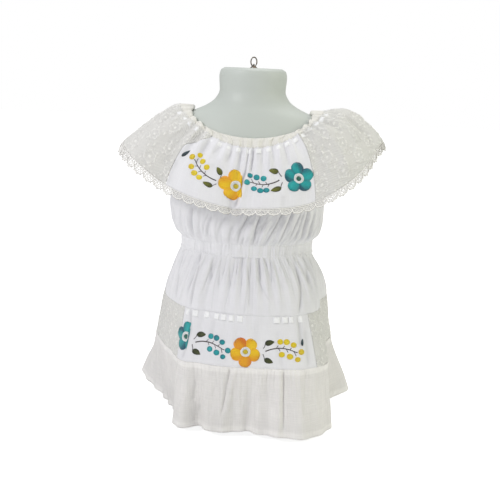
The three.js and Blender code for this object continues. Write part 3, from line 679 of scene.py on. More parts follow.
def weave_group():
    """Plain weave: warp and weft threads as two crossed waves, slubs as stretched noise, and crumple. Its
    shade is the slubs' own tone, and a painted shade that is darker in the crumple's hollows.
    """
    tree, given, out = shader_group(
        "cloth_weave",
        [("Vector", "NodeSocketVector", None), ("Threads per metre", "NodeSocketFloat", 1800.0),
         ("Slub", "NodeSocketFloat", 0.5), ("Crumple", "NodeSocketFloat", 0.5)],
        [("Height", "NodeSocketFloat"), ("Shade", "NodeSocketFloat")],
    )
    scale = math(tree, "DIVIDE", given["Threads per metre"], 6.2832)
    scale = math(tree, "MULTIPLY", scale, 2.0)
    warp = wave_texture(tree, given["Vector"], "X", scale, 0.3)
    weft = wave_texture(tree, given["Vector"], "Y", scale, 0.3)
    threads = math(tree, "MULTIPLY", math(tree, "ADD", warp, weft), 0.5)
    down = noise_texture(tree, stretched(tree, given["Vector"], (1, 0.05, 1)), 900.0)
    over = noise_texture(tree, stretched(tree, given["Vector"], (0.05, 1, 1)), 900.0)
    slub = math(tree, "SUBTRACT", math(tree, "ADD", down, over), 1.0)
    slub = math(tree, "MULTIPLY", slub, given["Slub"])
    soft = noise_texture(tree, stretched(tree, given["Vector"], (1, 0.35, 1)), 160.0, 3.0, 0.6)
    soft = math(tree, "SUBTRACT", soft, 0.5)
    crumple = math(tree, "MULTIPLY", soft, math(tree, "MULTIPLY", given["Crumple"], 3.0))
    height = math(tree, "ADD", math(tree, "MULTIPLY", threads, 0.35), slub)
    height = math(tree, "ADD", height, crumple)
    # shade: the slubs' own tone, plus painted shade that follows the crumple's height
    shade = math(tree, "ADD", slub, math(tree, "MULTIPLY", soft, 0.5))
    tree.links.new(height, out["Height"])
    tree.links.new(shade, out["Shade"])
    return tree


def tone_group():
    """Slow changes of tone over a piece: two sizes of noise on object coordinates, as one mask."""
    tree, given, out = shader_group("slow_tone", [("Vector", "NodeSocketVector", None)],
                                    [("Mask", "NodeSocketFloat")])
    large = noise_texture(tree, given["Vector"], 9.0)
    small = noise_texture(tree, given["Vector"], 45.0, 3.0)
    total = math(tree, "ADD", math(tree, "MULTIPLY", large, 0.65), math(tree, "MULTIPLY", small, 0.35))
    tree.links.new(total, out["Mask"])
    return tree


WEAVE, TONE = weave_group(), tone_group()


def new_material(name, **sockets):
    """A Principled material with constants on its sockets: itself, its tree, shader and coordinates."""
    material = bpy.data.materials.new(name)
    material.use_nodes = True
    tree = material.node_tree
    shader = tree.nodes["Principled BSDF"]
    for key, value in sockets.items():
        shader.inputs[key.replace("_", " ")].default_value = value
    coordinates = node(tree, "ShaderNodeTexCoord").outputs
    return material, tree, shader, coordinates


def bumped(tree, shader, height, strength, distance):
    """Turns a height into the shader's normal; the distance is in metres."""
    bump = node(tree, "ShaderNodeBump", {"Height": height, "Strength": strength, "Distance": distance})
    tree.links.new(bump.outputs[0], shader.inputs["Normal"])


def fabric(name, light, dark, threads, slub, crumple, depth, doubled_and_crease_shade=None):
    """Woven cloth: tone moves between two close colours, and the weave group gives bump and a shade: the
    slubs' tone, with painted shade in the crumple's hollows. It is paler by `doubled_and_crease_shade` where
    its colour attribute is 1: in two layers, and out of its pinched lines, which are painted darker as the
    shade that falls in a crease."""
    material, tree, shader, given = new_material(name, Roughness=0.9, Sheen_Weight=0.2, Sheen_Roughness=0.5)
    weave = node(tree, "ShaderNodeGroup", node_tree=WEAVE)
    for key, value in (("Threads per metre", threads), ("Slub", slub), ("Crumple", crumple)):
        weave.inputs[key].default_value = value
    tree.links.new(given["UV"], weave.inputs["Vector"])
    colour = blend(tree, spread(tree, slow_tone(tree, given), 0.35, 0.65), dark, light)
    if doubled_and_crease_shade:
        # the attribute gives paler doubled layers, and painted shade in the creases
        layers = math(tree, "MULTIPLY_ADD", attribute(tree, "Fac"), doubled_and_crease_shade, 1 - doubled_and_crease_shade)
        colour = scaled(tree, colour, layers)
    # the weave's shade: slub tone, and painted shade in the crumple's hollows
    shade = spread(tree, weave.outputs["Shade"], -0.4, 0.4, 0.93, 1.03)
    tree.links.new(scaled(tree, colour, shade), shader.inputs["Base Color"])
    bumped(tree, shader, weave.outputs["Height"], depth, 0.0004)
    return material


def lace_material(name, light, dark):
    """Corded lace: a fine net of crossed diagonal threads, painted darker in its holes as the shade seen
    through them, but not under the raised cords, where the colour attribute is 1."""
    material, tree, shader, given = new_material(name, Roughness=0.85, Sheen_Weight=0.15,
                                                 Sheen_Roughness=0.5)
    diagonal = node(tree, "ShaderNodeMapping", {"Vector": given["UV"], "Rotation": (0, 0, 0.785)}).outputs[0]
    net = math(tree, "MAXIMUM", wave_texture(tree, diagonal, "X", 190.0, 0.6),
               wave_texture(tree, diagonal, "Y", 190.0, 0.6))
    thread = noise_texture(tree, given["UV"], 1400.0)
    height = math(tree, "ADD", math(tree, "MULTIPLY", net, 0.8), math(tree, "MULTIPLY", thread, 0.5))
    # painted shade: the net's holes are darkened as if shade showed through them; the raised cords stay light
    painted_hole_shade = math(tree, "MAXIMUM", spread(tree, net, 0.1, 0.6, 0.64, 0.86), attribute(tree, "Fac"))
    colour = blend(tree, slow_tone(tree, given), dark, light)
    tree.links.new(scaled(tree, colour, painted_hole_shade), shader.inputs["Base Color"])
    bumped(tree, shader, height, 0.8, 0.0008)
    return material


def thread_material(name, twist, roughness, sheen=0.2, colour=None):
    """Sewing thread, floss or yarn: twisted plies as slanting waves. Its colour is one slowly changing tone,
    or else the colour attribute's: the thread's own, which on the crochet also holds painted shade."""
    material, tree, shader, given = new_material(name, Roughness=roughness, Sheen_Weight=sheen)
    plies = wave_texture(tree, given["Object"], "DIAGONAL", twist / 3.1416, 1.0)
    shade = spread(tree, noise_texture(tree, given["Object"], 2500.0), 0.3, 0.7, 0.9, 1.06)
    if colour:
        base = blend(tree, slow_tone(tree, given), tuple(0.93 * c for c in colour), colour)
    else:
        base = attribute(tree, "Color")
    tree.links.new(scaled(tree, base, shade), shader.inputs["Base Color"])
    bumped(tree, shader, plies, 0.5, 0.0002)
    return material


def satin_material():
    """Satin ribbon: smooth, with fine ribs across and a little unevenness in its gloss."""
    material, tree, shader, given = new_material("satin_ribbon", Roughness=0.28, Sheen_Weight=0.3,
                                                 Sheen_Roughness=0.3)
    ribs = wave_texture(tree, given["UV"], "X", 900.0, 0.2)
    cloud = noise_texture(tree, given["Object"], 240.0)
    colour = blend(tree, cloud, (0.86, 0.87, 0.89), (0.96, 0.96, 0.97))
    tree.links.new(colour, shader.inputs["Base Color"])
    tree.links.new(spread(tree, cloud, 0.3, 0.7, 0.22, 0.4), shader.inputs["Roughness"])
    bumped(tree, shader, ribs, 0.3, 0.0002)
    return material


def plastic_material():
    """Moulded plastic: pale grey-green, faint flow marks, scuffs in the gloss and a fine orange-peel skin."""
    material, tree, shader, given = new_material("form_plastic", Roughness=0.5, Coat_Weight=0.05,
                                                 Coat_Roughness=0.3)
    cloud = noise_texture(tree, given["Object"], 7.0, 3.0)
    colour = blend(tree, cloud, (0.515, 0.555, 0.52), (0.58, 0.615, 0.585))
    scuff = noise_texture(tree, stretched(tree, given["Object"], (1, 1, 0.25)), 60.0, 4.0, 0.7)
    tree.links.new(colour, shader.inputs["Base Color"])
    tree.links.new(spread(tree, scuff, 0.35, 0.7, 0.46, 0.62), shader.inputs["Roughness"])
    bumped(tree, shader, noise_texture(tree, given["Object"], 900.0), 0.12, 0.0002)
    return material


def steel_material():
    """Dull wire with brownish stains, which are rougher."""
    material, tree, shader, given = new_material("eye_steel", Metallic=1.0, Roughness=0.3)
    stain = noise_texture(tree, given["Object"], 420.0, 3.0)
    mask = spread(tree, stain, 0.45, 0.62)
    tree.links.new(blend(tree, mask, (0.30, 0.29, 0.27), (0.16, 0.10, 0.06)), shader.inputs["Base Color"])
    tree.links.new(spread(tree, mask, 0.0, 1.0, 0.22, 0.5), shader.inputs["Roughness"])
    bumped(tree, shader, stain, 0.2, 0.0002)
    return material


COTTON = fabric("white_cotton", (0.82, 0.82, 0.845), (0.78, 0.78, 0.81),
                threads=2200.0, slub=0.5, crumple=0.45, depth=0.35, doubled_and_crease_shade=0.16)
GAUZE = fabric("cotton_gauze", (0.96, 0.94, 0.925), (0.87, 0.855, 0.84),
               threads=1100.0, slub=1.3, crumple=0.9, depth=0.8, doubled_and_crease_shade=0.14)
CASING = fabric("neck_elastic", (0.80, 0.79, 0.745), (0.76, 0.745, 0.70),
                threads=900.0, slub=0.9, crumple=0.6, depth=0.7)
LACE = lace_material("cream_lace", (0.97, 0.95, 0.925), (0.91, 0.92, 0.885))
CROCHET = thread_material("crochet", twist=2200.0, roughness=0.85)
WHITE_THREAD = thread_material("sewing_thread", twist=4000.0, roughness=0.6, colour=(0.82, 0.82, 0.83))
FLOSS = thread_material("embroidery_floss", twist=3000.0, roughness=0.42, sheen=0.35)
SATIN, PLASTIC, STEEL = satin_material(), plastic_material(), steel_material()


# ---- Dress form ----
def build_form():
    """Oval rings round the form's sections, close together where it curves, closed by a pole at each end. A
    mould line runs down each side as a low ridge: 0.22 * exp(-(degrees from the side / 0.9) ** 2)."""
    columns, top = 128, FORM["z"][-1]
    bands = table("low high rings", [[0, 2, 3], [2, 330, 34], [330, 440, 46], [440, top, 12]])
    z = np.concatenate([*(np.linspace(low, high, int(rings), endpoint=False)
                          for low, high, rings in zip(*bands.values())), [top]])
    angle = np.linspace(-180, 180, columns, endpoint=False)
    points = form_point(angle[:, None] + 0 * z[None], z[None] + 0 * angle[:, None])
    seam = np.exp(-(((np.abs(angle) - 90) / 0.9) ** 2)) * 0.22
    outward = points[..., :2] / np.linalg.norm(points[..., :2], axis=-1, keepdims=True)
    points[..., :2] += outward * seam[:, None, None]
    points = np.concatenate([points.reshape(-1, 3), [[0, 0, 0], [0, 0, CROWN_Z]]])
    add_piece("dress_form", points, capped_faces(columns, len(z), upwards=True), PLASTIC, ("form_torso",),
              "form_plastic")


def tube(path, radius, sides, steady, closed=False):
    """Round tubes along paths of shape (copies, steps, 3): at each step, a ring of points about the path in
    the plane across it, laid out from a steady direction. An open one has a flat cap at each end."""
    if closed:
        ahead = np.roll(path, -1, 1) - np.roll(path, 1, 1)
    else:
        ahead = np.gradient(path, axis=1)
    ahead /= np.linalg.norm(ahead, axis=-1, keepdims=True)
    side = np.cross(ahead, np.broadcast_to(steady, ahead.shape))
    side /= np.maximum(np.linalg.norm(side, axis=-1, keepdims=True), 1e-9)
    up = np.cross(side, ahead)
    turn = np.linspace(0, 2 * np.pi, sides, endpoint=False)
    radius = np.broadcast_to(radius, path.shape[:2])[..., None, None]
    ring = side[:, :, None] * np.cos(turn)[:, None] + up[:, :, None] * np.sin(turn)[:, None]
    points = path[:, :, None] + radius * ring
    copies, steps = path.shape[:2]
    at = np.arange(steps * sides).reshape(steps, sides)
    rows = np.vstack([at, at[:1]]) if closed else at
    wrap = np.hstack([rows, rows[:, :1]])
    faces = np.stack([wrap[:-1, :-1], wrap[1:, :-1], wrap[1:, 1:], wrap[:-1, 1:]], -1).reshape(-1, 4)
    faces = [many_faces(faces, copies, steps * sides)]
    if not closed:
        faces.append(many_faces(at[:1].copy(), copies, steps * sides))
        faces.append(many_faces(at[-1:, ::-1].copy(), copies, steps * sides))
    return points.reshape(-1, 3), faces


def combined(parts):
    """Several (points, faces) pairs as one."""
    points, faces, start = [], [], 0
    for some_points, some_faces in parts:
        some_faces = some_faces if isinstance(some_faces, list) else [some_faces]
        points.append(some_points.reshape(-1, 3))
        faces += [kind + start for kind in some_faces]
        start += len(points[-1])
    return np.concatenate(points), faces


def lathe(profile, columns):
    """A table of radius and height turned about the upright axis; it starts and ends on the axis."""
    radius, height = profile["radius"], profile["height"]
    angle = np.radians(np.linspace(0, 360, columns, endpoint=False))
    middle = np.stack([np.cos(angle)[:, None] * radius[1:-1], np.sin(angle)[:, None] * radius[1:-1],
                       height[1:-1] + 0 * angle[:, None]], -1)
    points = np.concatenate([middle.reshape(-1, 3), [[0, 0, height[0]], [0, 0, height[-1]]]])
    return points, capped_faces(columns, len(radius) - 2)


# The eye's washer, by radius and by height above the form's crown.
WASHER = table("radius height", [[0, 2.2], [1.6, 2.2], [2.9, 2.05], [3.3, 1.7], [3.6, 0.9], [4.5, 0.55],
                                 [4.6, 0.2], [4.3, 0], [0, 0]])


def build_eye():
    """A washer turned on the lathe, an oval wire loop, and a shank of two wires twisted round each other."""
    half_width, half_height, loop_middle, shank_foot, forward = 3.75, 5.6, 7.7, 1.9, (0, 1, 0)
    turn = np.linspace(0, 2 * np.pi, 56, endpoint=False)
    loop = np.stack([half_width * np.sin(turn), 0 * turn, loop_middle - half_height * np.cos(turn)], -1)
    twist = np.linspace(0, 3 * np.pi, 40)
    shank = lambda phase: np.stack([0.62 * np.cos(twist + phase), 0.62 * np.sin(twist + phase),
                                    shank_foot + twist * 0.3], -1)
    points, faces = combined([lathe(WASHER, 40), tube(loop[None], 0.8, 12, forward, closed=True),
                              tube(shank(0)[None], 0.5, 8, forward),
                              tube(shank(np.pi)[None], 0.5, 8, forward)])
    add_piece("hanging_eye", points + (0, 0, CROWN_Z), faces, STEEL, ("form_eye",), "eye_steel")


build_form()
build_eye()


# ---- Cloth panels ----
def lace_relief(x, y, seed):
    """Corded floral lace, by millimetres across and down the panel: six-petalled rosettes on a staggered
    lattice, each with a corded outline, ribs and a raised middle, between bands of curling cord with
    leaves. Each line is exp(-(distance / half-width) ** 2) of its own curve."""
    pitch_x, pitch_y, petals, curl_pitch = 27.0, 24.0, 6, 13.5
    row = np.round(y / pitch_y)
    shift = np.where(row % 2 == 0, 0, pitch_x / 2)
    cell = np.round((x - shift) / pitch_x)
    dx, dy = x - shift - cell * pitch_x, y - row * pitch_y
    spin = 40 * np.sin(12.9 * cell + 78.2 * row + seed)
    radius, angle = np.hypot(dx, dy), np.degrees(np.arctan2(dy, dx)) + spin
    rim = 7.6 * (0.78 + 0.22 * np.abs(cos(petals / 2 * angle)))
    outline = np.exp(-(((radius - rim) / 0.75) ** 2))
    inside = smoothstep(0.6, -0.6, radius - rim)
    ribs = 0.22 * cos(18 * angle) * smoothstep(1.5, 4, radius) * inside
    middle = np.exp(-((radius / 1.9) ** 4)) - 0.45 * np.exp(-(((radius - 3) / 0.7) ** 2))
    from_middle = pitch_y / 2 - np.abs(dy)
    slid = x + 5 * row
    cord = np.exp(-(((from_middle - 3.4 * np.sin(2 * np.pi * slid / curl_pitch)) / 0.7) ** 2)) * (1 - inside)
    leaf_pitch = curl_pitch / 2
    leaf_x = (slid + 3.4) % leaf_pitch - leaf_pitch / 2
    leaf_y = from_middle + np.where(((slid + 3.4) // leaf_pitch) % 2 == 0, 3.1, -3.1)
    leaf = smoothstep(1.25, 0.75, np.hypot(leaf_x / 1.15, leaf_y / 2.0)) * (1 - inside)
    return 0.85 * outline + 0.3 * inside + ribs + 0.6 * middle * inside + 0.75 * cord + 0.6 * leaf


def laced(base, u_middle, v_low, v_high, seed):
    """The lace's relief on one panel, whose millimetres are walked along its middle lines."""
    us, vs = np.linspace(u_middle - 60, u_middle + 60, 121), np.linspace(v_low, v_high, 25)
    across = walk(base(us, 0 * us + (v_low + v_high) / 2))
    down = walk(base(0 * vs + u_middle, vs))
    middle = across[len(us) // 2]
    return lambda u, v: lace_relief(np.interp(u, us, across) - middle, np.interp(v, vs, down), seed)


def panel_edge(u, v):
    """The plain panels swell a little beside their lace seams, which lie 45 degrees from front and back."""
    return 0.25 * smoothstep(2.6, 0.6, np.abs(np.abs((u + 180) % 180 - 90) - 45))


def lace_drift(u, along):
    """Near the neckline the lace is gathered in over the corner of the plain panel: by 12 degrees at its
    left seam."""
    away = (u + 45 + 180) % 360 - 180
    return 12 * smoothstep(46, CASING_LENGTH, along) * np.exp(-((away / 16) ** 2))


def hem_turning(u, z):
    """A gathered heading of two layers under the seam, and a turned-up hem of two with a dip at its
    stitching."""
    above = z - HEM_Z - HEM_TURNED
    header = smoothstep(SEAM_Z - 8.0, SEAM_Z - 5.0, z) * (0.88 + 0.12 * noise(u / 2, z / 9, 64, 180))
    return 0.35 * smoothstep(1.2, 0.2, above) - 0.25 * np.exp(-((above / 0.7) ** 2)) + 0.45 * header


def bodice_foot(u, z):
    """The gathered foot runs on under the waist casing."""
    return -0.8 * smoothstep(WAIST_TOP_Z + 0.8, WAIST_TOP_Z - 0.8, z)


def skirt_edges(u, z):
    """The skirt's top runs on under the waist casing, and its foot under the band."""
    return (0.5 * smoothstep(WAIST_BOTTOM_Z - 5, WAIST_BOTTOM_Z - 0.5, z)
            - 2.8 * smoothstep(WAIST_BOTTOM_Z - 0.7, WAIST_BOTTOM_Z + 1.0, z)
            - 0.7 * smoothstep(BAND_Z + 0.9, BAND_Z - 0.6, z))


def band_foot(u, z):
    """The band's foot runs on under the hem flounce."""
    return -0.7 * smoothstep(SEAM_Z + 0.9, SEAM_Z - 0.6, z)


def neck_puff(u, along):
    """The casing swells over the elastic, shows fine gathers, and lies flat on the form at its top edge."""
    share = np.clip(along / CASING_LENGTH, 0, 1)
    fine = 0.2 * cos(140 * u + 120 * noise(u / 3, along / 9, 61, 120))
    hug = (1.1 * gather_wave(NECK_GATHERS, u) + 1.9 + 0.8 * sin(u) ** 2) * smoothstep(5.0, 0.0, along)
    return 0.6 * np.sqrt(np.clip(4 * share * (1 - share), 0, 1)) + fine + 0.05 - hug


def waist_puff(u, z):
    """The casing swells over the elastic with fine gathers, is pulled in along its middle, comes out to the
    skirt at its foot and sinks under the bodice at its top."""
    share = (z - WAIST_BOTTOM_Z) / (WAIST_TOP_Z - WAIST_BOTTOM_Z)
    fine = cos(150 * u + 140 * noise(u / 3, z / 9, 62, 120)) * (0.6 + 0.4 * noise(u / 4, z / 20, 63, 90))
    pull = -0.2 * np.exp(-(((share - 0.5) / 0.09) ** 2))
    edge = 1.5 * smoothstep(0.24, 0.02, share) - 0.6 * smoothstep(0.9, 1.06, share)
    return 0.45 * np.sqrt(np.clip(4 * share * (1 - share), 0, 1)) + 0.36 * fine + pull + edge


# Millimetres between columns and between rows. Creases run down the cloth, so rows may lie further apart.
SPACING = {
    "casing": (0.8, 1.2), "lace": (1.25, 1.25), "flounce_front": (0.95, 1.5), "flounce_back": (1.2, 2.0),
    "bodice_front": (0.95, 2.2), "bodice_back": (1.2, 2.4), "skirt_front": (0.85, 2.0),
    "skirt_back": (1.2, 2.4), "band_front": (1.1, 1.5), "band_back": (1.4, 2.0),
    "hem_flounce_front": (1.15, 2.0), "hem_flounce_back": (1.3, 2.4),
}
# Material, slot, thickness, and how far the middle of the shell lies out of the solid wall's inner face.
PLAIN = (COTTON, "white_cotton", 0.6, 0.75)
LACY = (LACE, "cream_lace", 0.7, 0.6)
CRINKLED = (GAUZE, "cotton_gauze", 0.55, 0.75)
NECK_BAND = (CASING, "neck_elastic", 1.0, 0.55)
WAIST_BAND = (COTTON, "white_cotton", 0.8, 0.4)

ALL_ROUND = (-180, 180)
HALVES = {"front": (-90, 90), "back": (90, 270)}
PLAIN_QUARTERS = {"front": (-45, 45), "back": (135, 225)}
LACE_QUARTERS = {"right": (45, 135), "left": (-135, -45)}
FLOUNCE_LEVELS = (CASING_LENGTH, FLOUNCE_LENGTH)
BAND_LEVELS = (BAND_Z + 0.3, SEAM_Z - 1.2)
LACE_SEEDS = {"flounce_lace_right": 3.0, "flounce_lace_left": 7.0, "band_lace_right": 11.0,
              "band_lace_left": 17.0}


def inside(angles):
    """A panel's angles, less its share of the seam gap at both sides."""
    return angles[0] + 0.1, angles[1] - 0.1


cloth_panel("neck_casing", flounce, ALL_ROUND, (0.2, CASING_LENGTH + 1.0), NECK_BAND, SPACING["casing"],
            neck_puff, closed=True)
for side, angles in PLAIN_QUARTERS.items():
    name = "flounce_" + side
    cloth_panel(name, flounce, inside(angles), FLOUNCE_LEVELS, PLAIN, SPACING[name], panel_edge, lace_drift,
                ALL_FLOUNCE_CREASES)
for side, angles in LACE_QUARTERS.items():
    name = "flounce_lace_" + side
    relief = laced(flounce_base, sum(angles) / 2, *FLOUNCE_LEVELS, LACE_SEEDS[name])
    cloth_panel(name, flounce, inside(angles), FLOUNCE_LEVELS, LACY, SPACING["lace"], relief, lace_drift)
for side, angles in HALVES.items():
    name = "bodice_" + side
    cloth_panel(name, bodice, angles, (bodice_top, WAIST_TOP_Z - 1.2), PLAIN, SPACING[name], bodice_foot,
                lines=ALL_BODICE_CREASES)
cloth_panel("waist_casing", bodice, ALL_ROUND, (WAIST_TOP_Z + 1.0, WAIST_BOTTOM_Z - 1.6), WAIST_BAND,
            SPACING["casing"], waist_puff, closed=True)
for side, angles in HALVES.items():
    name = "skirt_" + side
    cloth_panel(name, skirt, angles, (WAIST_BOTTOM_Z + 1.5, BAND_Z - 1.2), PLAIN, SPACING[name], skirt_edges,
                lines=ALL_SKIRT_CREASES)
for side, angles in PLAIN_QUARTERS.items():
    name = "band_" + side
    cloth_panel(name, skirt, inside(angles), BAND_LEVELS, PLAIN, SPACING[name],
                lambda u, v: panel_edge(u, v) + band_foot(u, v), lines=ALL_BAND_CREASES)
for side, angles in LACE_QUARTERS.items():
    name = "band_lace_" + side
    relief = laced(skirt_base, sum(angles) / 2, SEAM_Z, BAND_Z, LACE_SEEDS[name])
    cloth_panel(name, skirt, inside(angles), BAND_LEVELS, LACY, SPACING["lace"],
                lambda u, v: relief(u, v) + band_foot(u, v))
for side, angles in HALVES.items():
    name = "hem_flounce_" + side
    cloth_panel(name, skirt, angles, (SEAM_Z + 0.5, HEM_Z), CRINKLED, SPACING[name], hem_turning,
                lines=ALL_HEM_CREASES)


# ---- Ribbons ----
def flounce_stations(u0, u1, along):
    """Stations between two angles at one level of the smooth flounce, and the millimetres walked to each."""
    us = np.linspace(u0, u1, 1441)
    return us, walk(flounce_base(us, along + 0 * us))


NECK_RIBBON_LEVELS, SKIRT_RIBBON_LEVELS = (15.5, 21), (155, 147.5)
NECK_US, NECK_WALKED = flounce_stations(*ALL_ROUND, 18.2)
NECK_FLOATS = 46
RIBBON_UNDER, RIBBON_OVER, RIBBON_BOW = 0.2, 1.75, 0.4  # out of the wall's inner face, and across it


def neck_float(u):
    """How far the neck ribbon rises on each of its 46 even floats: most stay sunk between the gathers."""
    walked = np.interp((u + 180) % 360 - 180, NECK_US, NECK_WALKED) / NECK_WALKED[-1] * NECK_FLOATS
    share, each = walked % 1, np.floor(walked).astype(int) % NECK_FLOATS
    over = smoothstep(0.0, 0.16, share) * smoothstep(0.66, 0.5, share)
    return over * np.random.default_rng(71).uniform(0.3, 0.85, NECK_FLOATS)[each]


SKIRT_FLOATS = table("at width lift", [
    [-41.5, 2.6, 0.7], [-34.8, 3.6, 1.0], [-26.8, 3.6, 1.0], [-19.4, 3.2, 1.1], [-14.6, 3.2, 1.1],
    [-9.4, 3.2, 1.1], [-3.6, 3.4, 0.9], [3.4, 2.4, 0.3], [15.2, 2.4, 0.35], [21.8, 3.8, 1.1],
    [27.6, 3.2, 1.1], [31.8, 2.4, 0.9], [38.5, 2.6, 0.5],
])


def skirt_float(u):
    """Where the skirt's ribbon shows: a rounded block at each float of the table."""
    total = 0
    for at, width, lift in zip(*(SKIRT_FLOATS[name] for name in ("at", "width", "lift"))):
        total = total + lift * smoothstep(width / 2 + 0.5, width / 2 - 0.25, np.abs(u - at))
    return total


def ribbon(node_name, point, us, levels, float_height, closed):
    """A strip that rides over the cloth on its floats and dips under it between them, bowed across."""
    share = np.linspace(0, 1, 9)
    u, t = np.meshgrid(us, share, indexing="ij")
    over = float_height(u)
    bow = RIBBON_BOW * (1 - (2 * t - 1) ** 2) * over
    points = point(u, mix(*levels, t), mix(RIBBON_UNDER, RIBBON_OVER, over) + bow)
    x, y = cloth_lengths(points)
    uv = np.stack(np.meshgrid(x * MM, y * MM, indexing="ij"), -1)
    piece = add_piece(node_name + "_satin", points, grid_faces(len(us), len(share), closed), SATIN,
                      (node_name,), "satin_ribbon", uv)
    return thicken(piece, 0.25)


neck_us = np.interp(np.linspace(0, NECK_WALKED[-1], 640, endpoint=False), NECK_WALKED, NECK_US)
neck_ribbon = ribbon("neck_ribbon", flounce, neck_us, NECK_RIBBON_LEVELS, neck_float, True)
skirt_ribbon = ribbon("skirt_ribbon", skirt, np.linspace(-44.8, 44.8, 420), SKIRT_RIBBON_LEVELS, skirt_float,
                      False)


# ---- Crochet edging ----
# The yarn is pale on its faces; the sides of its cords that line the holes are painted a brownish grey, as
# shade.
YARN_LIGHT, YARN_PAINTED_SHADE = (0.985, 0.975, 0.95), (0.12, 0.095, 0.07)
YARN_OUT = 0.75  # from the wall's inner face to the middle of a cord
SCALLOPS, SCALLOP_WIDTH = 30, 14.7  # in each half of the hem, and millimetres
HEADER = 2.7  # drop of the lower header cord, from which the arches hang
# The three arches of a scallop: half-width in scallops, drop, how square they are, and the cord's radius.
ARCHES = {
    "inner": (0.24, 2.6, 0.85, 0.52), "middle": (0.37, 4.8, 0.85, 0.52), "outer": (0.5, 7.3, 0.8, 0.95),
}
# The posts between two arches, or from the header to one: their places round the arch, and radius.
POSTS = [
    ("middle", "outer", [22, 50, 76, 104, 130, 158], 0.5),
    ("inner", "middle", [42, 90, 138], 0.5),
    (None, "inner", [60, 120], 0.45),
]
# The picots: small rings outside the outer arch.
PICOTS, PICOT_WIDTH, PICOT_HEIGHT, PICOT_RADIUS = [50, 90, 130], 0.9, 0.8, 0.55


def arch(name, angle):
    """A place on one arch of the first scallop: -cos(angle) across it, and a power of sin(angle) down."""
    half_width, drop, square = ARCHES[name][:3]
    return 0.5 - half_width * np.cos(angle), HEADER + drop * np.sin(angle) ** square


def crochet_edging(side, angles):
    """Cords on the flounce's own surface below its hem. A place is (turn, drop): scallops counted along the
    hem, and millimetres below the seam. Two header cords with bars between them carry three arches a
    scallop, one outside the other, with posts between them, a fan under the inner one, and three picots
    outside. The yarn is painted darker where a point faces across the cloth instead of along its normal:
    painted shade on the cords' sides that line the holes."""
    us, walked = flounce_stations(*inside(angles), FLOUNCE_LENGTH + SEAM_GAP)
    painted_shade_tones, parts = [], []

    def cord(turn, drop, radius, sides=6, closed=False):
        turn, drop = np.broadcast_arrays(turn, drop)
        u = np.interp(turn / SCALLOPS * walked[-1], walked, us)
        path = flounce(u, FLOUNCE_LENGTH + SEAM_GAP + drop, YARN_OUT)
        outward = flounce(u, FLOUNCE_LENGTH + SEAM_GAP + drop, YARN_OUT + 1) - path
        points, faces = tube(path, radius, sides, outward, closed)
        away = points - np.repeat(path.reshape(-1, 3), sides, 0)
        facing = (away * np.repeat(outward.reshape(-1, 3), sides, 0)).sum(-1) / radius
        # painted shade: points that face across the cloth, on the cords' sides, take the dark yarn colour
        lit = smoothstep(0.3, 0.86, np.abs(facing))[:, None]
        painted_shade_tones.append(mix(np.array(YARN_PAINTED_SHADE), np.array(YARN_LIGHT), lit))
        parts.append((points, faces))

    each = np.arange(SCALLOPS)[:, None]
    whole = np.linspace(0, SCALLOPS, SCALLOPS * 14 + 1)[None]
    for drop, wobble in ((0.5, 0.0), (HEADER, 1.6)):
        cord(whole, drop + 0.22 * np.sin(14 * np.pi * whole + wobble), 0.7)
    bars = (each + (np.arange(4) + 0.5) / 4).reshape(-1, 1)
    cord(bars + np.zeros((1, 3)), np.array([[0.6, 1.6, 2.6]]), 0.6, 5)
    for name, (_, _, _, radius) in ARCHES.items():
        turn, drop = arch(name, np.linspace(0, np.pi, 15)[None])
        cord(each + turn, drop + 0 * each, radius)
    for low, high, degrees, radius in POSTS:
        angle, share = np.radians(degrees), np.array([0.0, 0.5, 1.0])
        turn1, drop1 = arch(high, angle)
        turn0, drop0 = arch(low, angle) if low else (turn1, HEADER + 0 * angle)
        turn = mix(turn0[:, None], turn1[:, None], share)
        drop = mix(drop0[:, None], drop1[:, None], share)
        cord((each[:, None] + turn[None]).reshape(-1, 3), np.tile(drop, (SCALLOPS, 1)), radius)
    circle = np.linspace(0, 2 * np.pi, 9, endpoint=False)[None]
    for angle in np.radians(PICOTS):
        turn, drop = arch("outer", angle)
        cord(each + turn + PICOT_WIDTH / SCALLOP_WIDTH * np.cos(circle),
             drop + 0.85 * np.sin(angle) + PICOT_HEIGHT * np.sin(circle), PICOT_RADIUS, 5, True)
    points, faces = combined(parts)
    return add_piece("crochet_edging_" + side, points, faces, CROCHET, ("edging_" + side,), "crochet",
                     colour=np.concatenate(painted_shade_tones))


edging = {side: crochet_edging(side, angles) for side, angles in HALVES.items()}


# ---- Embroidery ----
# Thread colours, from a light one to a deep one, as linear red, green and blue.
THREADS = {
    "yellow": ((0.98, 0.66, 0.005), (0.84, 0.36, 0.002)),
    "orange": ((0.90, 0.42, 0.006), (0.70, 0.17, 0.002)),
    "teal": ((0.004, 0.45, 0.45), (0.001, 0.085, 0.14)),
    "berry_yellow": ((0.88, 0.70, 0.01), (0.66, 0.44, 0.01)),
    "berry_teal": ((0.01, 0.42, 0.44), (0.002, 0.12, 0.19)),
    "leaf": ((0.22, 0.23, 0.014), (0.010, 0.018, 0.006)),
    "dark_leaf": ((0.075, 0.09, 0.012), (0.006, 0.010, 0.004)),
    "ink": ((0.02, 0.06, 0.075), (0.004, 0.010, 0.018)),
    "stem": ((0.035, 0.018, 0.024), (0.012, 0.008, 0.012)),
    "white": ((0.86, 0.87, 0.87), (0.74, 0.77, 0.77)),
    "middle_green": ((0.02, 0.17, 0.12), (0.006, 0.07, 0.06)),
    "middle_yellow": ((0.75, 0.60, 0.03), (0.55, 0.40, 0.02)),
}
THREAD_PITCH = 0.42
CLOTH_FACE = 1.1  # from a wall's inner face to the top of its shell
NARROWEST_TIP = 0.02  # of a patch's width


